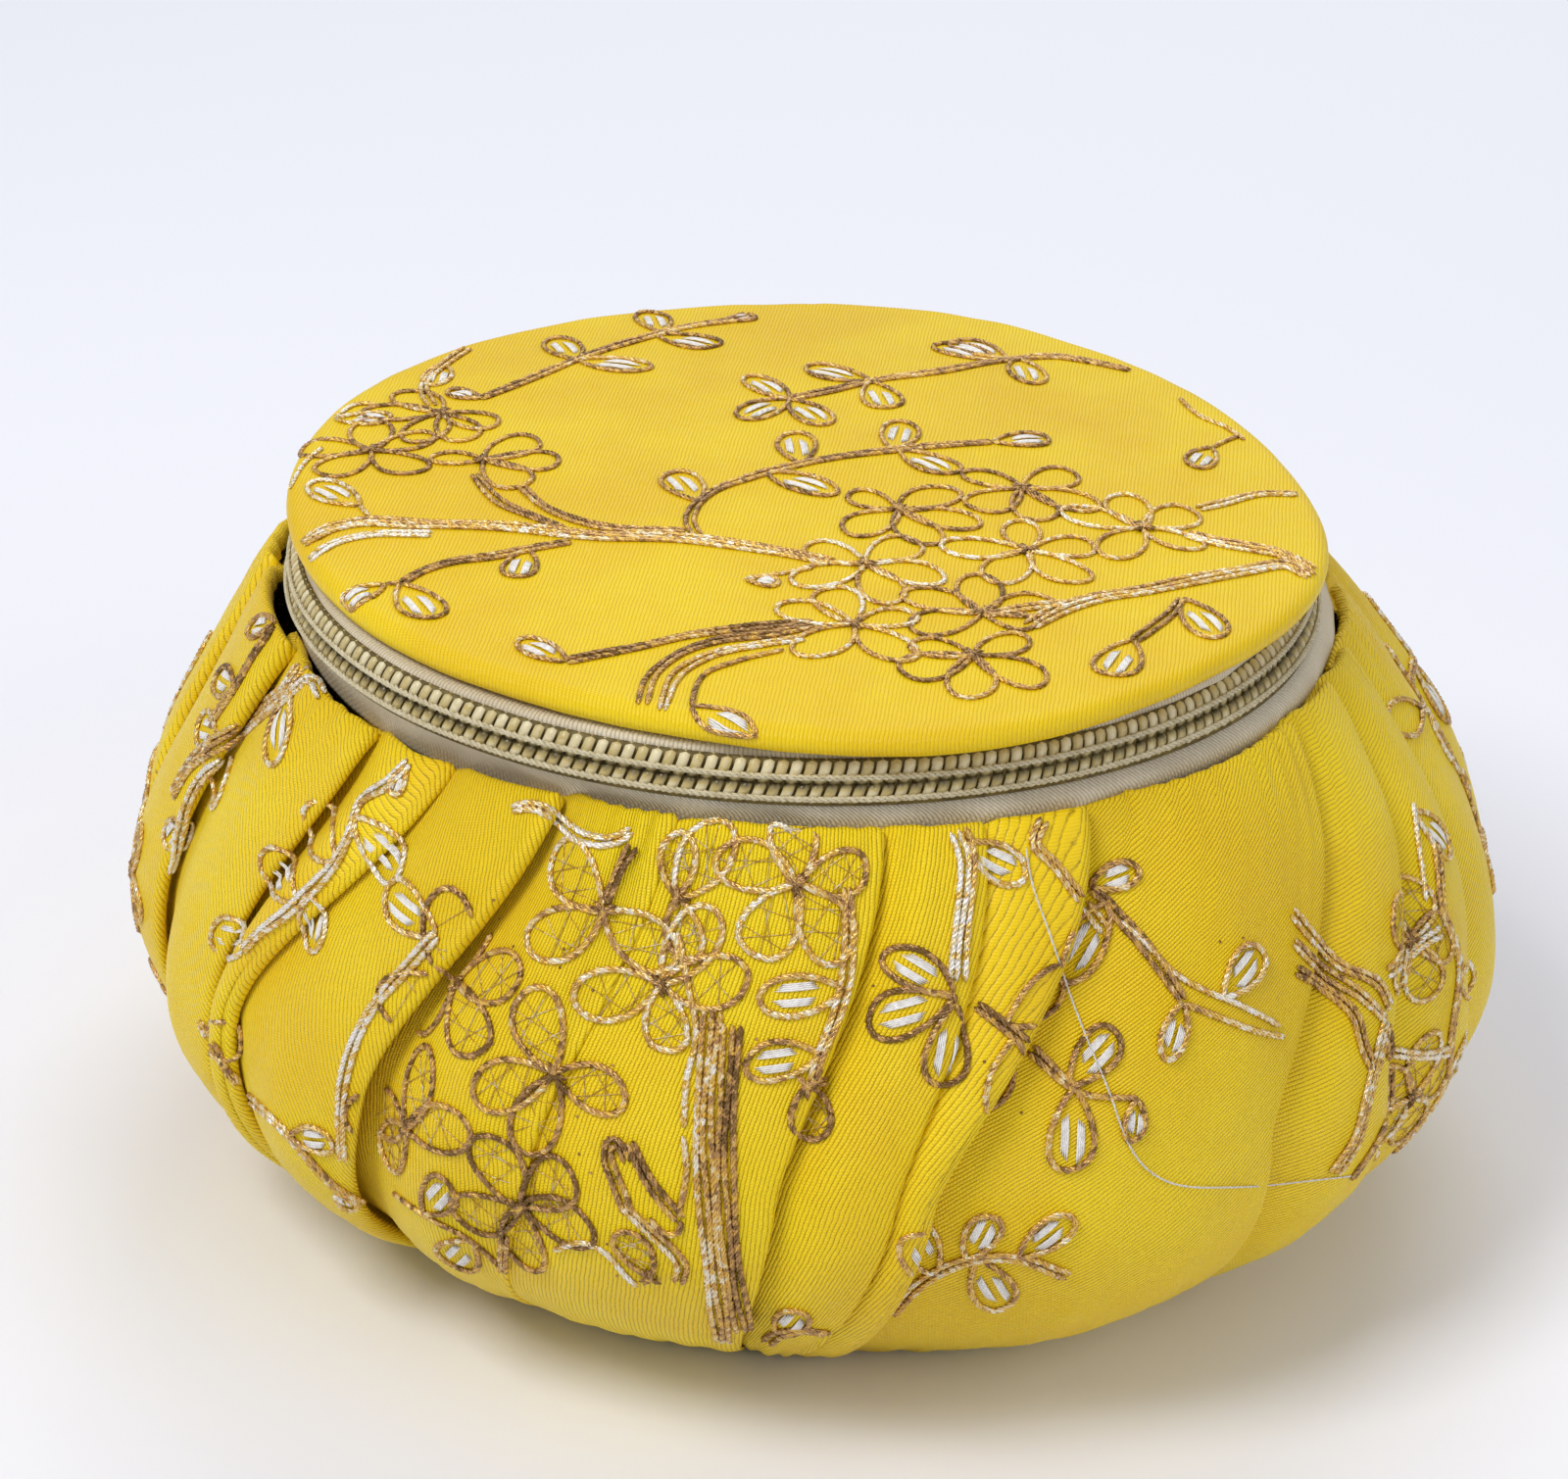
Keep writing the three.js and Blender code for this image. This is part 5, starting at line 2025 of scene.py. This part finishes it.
@dataclass
class Embroiderer:
    """Works the motifs on one surface: metallic cords in one piece, white satin in another."""

    ground: Ground
    thread: Needlework
    satin: Needlework
    strand: float = 0.20 * MM
    petal_width: float = 0.78
    leaf_width: float = 0.66
    step: float = 0.46 * MM
    longest: float = 8.6 * MM
    deepest: float = 2.2 * MM
    spacing: float = 0.74 * MM
    stitch: float = 0.12 * MM
    stitch_spacing: float = 0.19 * MM
    stitch_rise: float = 0.16 * MM
    stitch_lift: float = 0.08 * MM
    nets: bool = True
    worked: int = 0

    def axes(self, root: np.ndarray, middle: np.ndarray, facing: np.ndarray) -> tuple:
        """Gives a loop's length and its directions, ahead and sideways.

        Args:
            root: where the loop grows from.
            middle: its middle.
            facing: the way the cloth faces.

        Returns:
            The length and two unit vectors.
        """
        ahead = unit(middle - root)
        return min(2 * np.linalg.norm(middle - root), self.longest), ahead, unit(np.cross(facing, ahead))

    def cords(self, points: np.ndarray, ways: np.ndarray, tone: float, count: int = 1) -> None:
        """Lays cords side by side along a line on the cloth.

        Args:
            points: the line.
            ways: the way the cloth faces at each.
            tone: the thread's place on the ramp.
            count: how many cords.
        """
        for line, way in self.ground.runs(points, ways):
            side = unit(np.cross(way, np.gradient(line, axis=0)))
            run = run_along(line)
            for number in range(count):
                self.worked += 1
                place = (number - (count - 1) / 2) * self.spacing
                sway = 0.10 * MM * np.sin(run / (2.7 * MM) + 2.1 * self.worked)
                shade = tone + 0.07 * math.sin(self.worked * 1.9) + 0.10 * (number - (count - 1) / 2)
                shade = shade + 0.13 * np.sin(run / (3.1 * MM) + self.worked)
                self.thread.cord(
                    line + side * (place + sway)[:, None], way, shade, strands=3, strand=self.strand,
                    twist=(1.9 + 0.3 * math.sin(self.worked)) * MM, step=self.step, flat=0.7,
                    lift=0.10 * MM,
                )

    def loop(self, root: np.ndarray, middle: np.ndarray, facing: np.ndarray, width: float,
             tone: float) -> tuple[np.ndarray, np.ndarray]:
        """Stitches a looped leaf or petal from its root round its middle.

        Args:
            root: where it grows from.
            middle: the middle of the loop.
            facing: the way the cloth faces.
            width: its width as a share of its length.
            tone: the thread's place on the colour ramp.

        Returns:
            The loop's points on the cloth and the way the cloth faces at each.
        """
        length, ahead, side = self.axes(root, middle, facing)
        t = np.linspace(0.0, 1.0, 27)
        wobble = 1 + 0.06 * np.sin(2 * math.pi * t * 2 + self.worked)
        along = length * (1 - np.cos(2 * math.pi * t)) / 2 * wobble
        across = width * length / 2 * np.sin(2 * math.pi * t) * np.sin(math.pi * t) ** 0.8 * wobble
        shape = root + ahead * along[:, None] + side * across[:, None]
        points, ways = self.ground.drape(shape, facing)
        self.cords(points, ways, tone)
        return points, ways

    def bars(self, root: np.ndarray, middle: np.ndarray, facing: np.ndarray, width: float) -> None:
        """Fills a loop with two short bars of white satin stitch.

        Args:
            root: where the loop grows from.
            middle: its middle.
            facing: the way the cloth faces.
            width: the loop's width as a share of its length.
        """
        length, ahead, side = self.axes(root, middle, facing)
        level = self.ground.drape(np.array([root, middle, root + ahead * length * 0.8]), facing)[0]
        if np.ptp((level - root) @ facing) > self.deepest:
            return
        for way, first, last in ((-1, 0.28, 0.84), (1, 0.34, 0.88)):
            for number in range(4):
                place = way * (0.09 * width * length + number * self.stitch_spacing)
                at = np.linspace(first + 0.02 * number, last - 0.03 * number, 7)
                shape = root + ahead * (at * length)[:, None] + side * place
                points, ways = self.ground.drape(shape, facing)
                for line, out in self.ground.runs(points, ways):
                    rise = self.stitch_rise * np.sin(np.linspace(0, math.pi, len(line)))
                    swell = np.sin(np.linspace(0.12, math.pi - 0.12, len(line))) * 1.6
                    middles = line + out * (rise + self.stitch_lift)[:, None]
                    radius = self.stitch * np.clip(swell, 0, 1)
                    self.satin.tube(middles, out, radius, 0.15 * number, 5)

    def net(self, points: np.ndarray, ways: np.ndarray) -> None:
        """Crosses a petal with hair-fine threads.

        Args:
            points: the petal's loop.
            ways: the way the cloth faces at each.
        """
        last = len(points) - 1
        for first, second in ((5, 19), (7, 22), (8, 17), (10, 20), (6, 15), (12, 21), (9, 24)):
            a, b = points[first], points[min(second + self.worked % 2, last)]
            if np.linalg.norm(a - b) > 7 * MM:
                continue
            spots, out = self.ground.drape(np.linspace(a, b, 7), ways[first])
            for line, way in self.ground.runs(spots, out):
                self.thread.tube(line + way * 0.12 * MM, way, 0.05 * MM, 0.4, 3)

    def flower(self, heart: np.ndarray, petals: np.ndarray, facing: np.ndarray, tone: float) -> None:
        """Stitches a flower's petals, their nets and the knot at its heart.

        Args:
            heart: its middle.
            petals: the petals' middles.
            facing: the way the cloth faces.
            tone: the thread's place on the ramp.
        """
        for number, middle in enumerate(petals):
            shade = tone + 0.06 * math.sin(number * 2.3 + self.worked)
            points, ways = self.loop(heart, middle, facing, self.petal_width, shade)
            if self.nets:
                self.net(points, ways)
        ahead = Vector(facing).orthogonal().normalized()
        over = Vector(facing).cross(ahead)
        for number in range(5):
            turn = number * 1.26 + self.worked
            way = np.array(ahead) * math.cos(turn) + np.array(over) * math.sin(turn)
            points, ways = self.ground.drape(
                heart + np.linspace(-0.5, 1.3, 6)[:, None] * MM * way, facing
            )
            # Dark tone for the heart's knot: partly the thread's own colour, partly painted shade among its
            # dense stitches.
            self.cords(points + ways * 0.22 * MM, ways, 0.86)

    def sprig(self, sprig: Sprig, view: Viewpoint) -> None:
        """Works a charted sprig.

        Args:
            sprig: the chart.
            view: the reference camera.
        """
        path = self.ground.curve(np.array(sprig.stem, float), 5.0)
        points, ways = self.ground.seen(view, path)
        if len(points) < 4:
            return
        self.cords(points, ways, sprig.tone.value, sprig.cords)
        for pixel in sprig.leaves:
            middle, way = self.ground.seen(view, np.array([pixel], float))
            if len(middle) == 0:
                continue
            nearest = int(np.argmin(np.linalg.norm(points - middle[0], axis=1)))
            back = max(0, nearest - 3) if nearest < len(points) - 3 else nearest
            root = points[back]
            if np.linalg.norm(root - middle[0]) < 1.2 * MM:
                continue
            facing = unit(way[0] + ways[back])
            self.loop(root, middle[0], facing, self.leaf_width, sprig.tone.value * 0.6 + 0.25)
            self.bars(root, middle[0], facing, self.leaf_width)

    def bloom(self, bloom: Bloom, view: Viewpoint) -> None:
        """Works a charted flower.

        Args:
            bloom: the chart.
            view: the reference camera.
        """
        heart, way = self.ground.seen(view, np.array([bloom.heart], float))
        petals, ways = self.ground.seen(view, np.array(bloom.petals, float))
        if len(heart) and len(petals):
            self.flower(heart[0], petals, unit(way[0] + ways.mean(axis=0)), bloom.tone.value)

    def motif(self, spot: Spot, seam_height: float) -> None:
        """Works a motif at a place on the body that the reference view hides.

        Args:
            spot: which motif, and where.
            seam_height: the height that the spot's share is of.
        """
        patch = Patch.at(spot, self.ground.tree, seam_height)
        lay, out = patch.lay, patch.out
        stem, ways = self.ground.drape(self.ground.curve(lay(spot.motif.stem), 0.6 * MM), out)
        self.cords(stem, ways, 0.5, 2)
        for leaf in spot.motif.leaves:
            middle = lay([leaf])[0]
            root = stem[int(np.argmin(np.linalg.norm(stem - middle, axis=1)))]
            self.loop(root, middle, out, self.leaf_width, 0.45)
            self.bars(root, middle, out, self.leaf_width)
        for number, (x, y) in enumerate(spot.motif.hearts):
            turns = [math.radians(72 * k + 20 * number + spot.angle) for k in range(5)]
            petals = lay([(x + 3.7 * math.cos(a), y + 3.7 * math.sin(a)) for a in turns])
            self.flower(self.ground.drape(lay([(x, y)]), out)[0][0], petals, out, 0.5)


@dataclass
class Embroidery:
    """All the stitching on the lid and on the body."""

    view: Viewpoint
    finishes: Finishes
    front_pieces: tuple[str, ...] = ("left", "right")

    def finish(self, worker: Embroiderer) -> None:
        """Makes the pieces of one worker.

        Args:
            worker: who has laid all its threads.
        """
        worker.thread.build("embroidery_thread", self.finishes.foil)
        if worker.satin.points:
            worker.satin.build("satin_thread", self.finishes.floss)

    def worker(self, label: str, ground: Ground, **settings: object) -> Embroiderer:
        """Starts a worker with its own two pieces."""
        thread, satin = Needlework(f"embroidery_{label}"), Needlework(f"satin_{label}")
        return Embroiderer(ground, thread, satin, **settings)

    def build(self, body: GatheredBody, lid: LidPanel) -> None:
        """Works every motif.

        Args:
            body: the gathered body, built.
            lid: the lid, built.
        """
        top = self.worker("lid", Ground(lid.tree, 0.0), strand=0.17 * MM, petal_width=0.74, nets=False)
        for sprig in LID_SPRIGS:
            top.sprig(sprig, self.view)
        for bloom in LID_BLOOMS:
            top.bloom(bloom, self.view)
        self.finish(top)
        cloth = Ground(body.tree, body.cloth / 2)
        halves = [self.worker(label, cloth) for label in self.front_pieces]
        middle_px = self.view.width_px / 2
        for sprig in FRONT_SPRIGS:
            halves[int(sprig.stem[0][0] > middle_px)].sprig(sprig, self.view)
        for bloom in FRONT_BLOOMS:
            halves[int(bloom.heart[0] > middle_px)].bloom(bloom, self.view)
        self.stray(halves[1].satin, cloth)
        self.needle_holes(halves[0].thread, cloth)
        for half in halves:
            self.finish(half)
        behind = [
            self.worker(label, cloth, step=0.56 * MM) for label in ("behind_right", "behind_left")
        ]
        for spot in HIDDEN_SPOTS:
            behind[int(spot.angle > 180)].motif(spot, body.seam_height)
        for half in behind:
            self.finish(half)

    def stray(self, work: Needlework, cloth: Ground) -> None:
        """Lays the one loose thread over the folds, without sinking into them.

        Args:
            work: the needlework that takes it.
            cloth: the body's surface.
        """
        path = cloth.curve(np.array(STRAY_THREAD, float), 6.0)
        points, ways = cloth.seen(self.view, path)
        line, way = points + ways * cloth.cover, ways
        for _ in range(6):
            line[1:-1] = (line[:-2] + 2 * line[1:-1] + line[2:]) / 4
            way[1:-1] = (way[:-2] + way[1:-1] + way[2:]) / 3
        toward = unit(np.array(self.view.eye) - line)
        work.cord(line + toward * 0.25 * MM, way, 0.3, strands=2, strand=0.07 * MM, twist=1.2 * MM,
                  step=0.45 * MM, lift=0.10 * MM)

    def needle_holes(self, work: Needlework, cloth: Ground) -> None:
        """Marks the small dark stitches where the needle went through the cloth.

        Args:
            work: the needlework that takes them.
            cloth: the body's surface.
        """
        for pixel in NEEDLE_HOLES:
            spots, ways = cloth.seen(self.view, np.array([pixel], float))
            if len(spots):
                side = np.cross(ways[0], (0.0, 0.0, 1.0))
                line = spots[0] + ways[0] * 0.17 * MM + np.linspace(-0.16, 0.16, 4)[:, None] * MM * side
                radius = np.array([0.08, 0.16, 0.16, 0.08]) * MM
                work.tube(line, np.repeat(ways[:1], 4, axis=0), radius, 1.0, 6)


@dataclass
class BaseBoard:
    """The stiff cloth-covered disc under the bag."""

    radius: float = 49.0 * MM
    thickness: float = 3.0 * MM
    rounding: float = 0.6 * MM

    def build(self, finishes: Finishes) -> bpy.types.Object:
        """Builds the disc with rounded edges.

        Args:
            finishes: the bag's materials.

        Returns:
            The board.
        """
        bpy.ops.object.select_all(action="DESELECT")
        bpy.ops.mesh.primitive_cylinder_add(
            vertices=128, radius=self.radius, depth=self.thickness, location=(0, 0, self.thickness / 2),
        )
        piece = bpy.context.active_object
        piece.name = "base_board"
        bpy.ops.object.transform_apply(location=True, rotation=True, scale=True)
        bpy.ops.object.mode_set(mode="EDIT")
        bpy.ops.mesh.select_all(action="DESELECT")
        bpy.ops.object.mode_set(mode="OBJECT")
        for edge in piece.data.edges:
            first, second = (piece.data.vertices[v].co for v in edge.vertices)
            edge.select = abs(first.z - second.z) < 0.1 * MM
        bpy.ops.object.mode_set(mode="EDIT")
        bpy.ops.mesh.bevel(offset=self.rounding, segments=3, affect="EDGES")
        bpy.ops.object.mode_set(mode="OBJECT")
        bpy.ops.object.shade_smooth_by_angle(angle=math.radians(50))
        settle(piece, "base_cloth", finishes.base_cloth, "base_disc")
        return piece


def main() -> None:
    """Builds the bag piece by piece and sets up the view."""
    logging.basicConfig(level=logging.INFO, format="%(name)s %(message)s")
    view = Viewpoint()
    view.add_camera()
    Studio().set_up(Vector((0.0, 0.0, 0.04)))
    finishes = Finishes()
    BaseBoard().build(finishes)
    body = GatheredBody()
    body.build(finishes)
    lid = LidPanel()
    lid.build(finishes)
    zip_ring = ZipRing()
    zip_ring.tapes(finishes)
    for row in COIL_ROWS:
        zip_ring.coil_row(row, finishes)
        stitching = Needlework(f"coil_cord_{row.side.value}")
        line, face = zip_ring.cord_path(row)
        stitching.cord(line, face, 0.4, strand=0.19 * MM, twist=1.37 * MM, lift=0.0, flat=0.6)
        stitching.build("zip_tape", finishes.zip_thread)
    zip_ring.slider(finishes)
    Embroidery(view, finishes).build(body, lid)


if __name__ == "__main__":
    main()
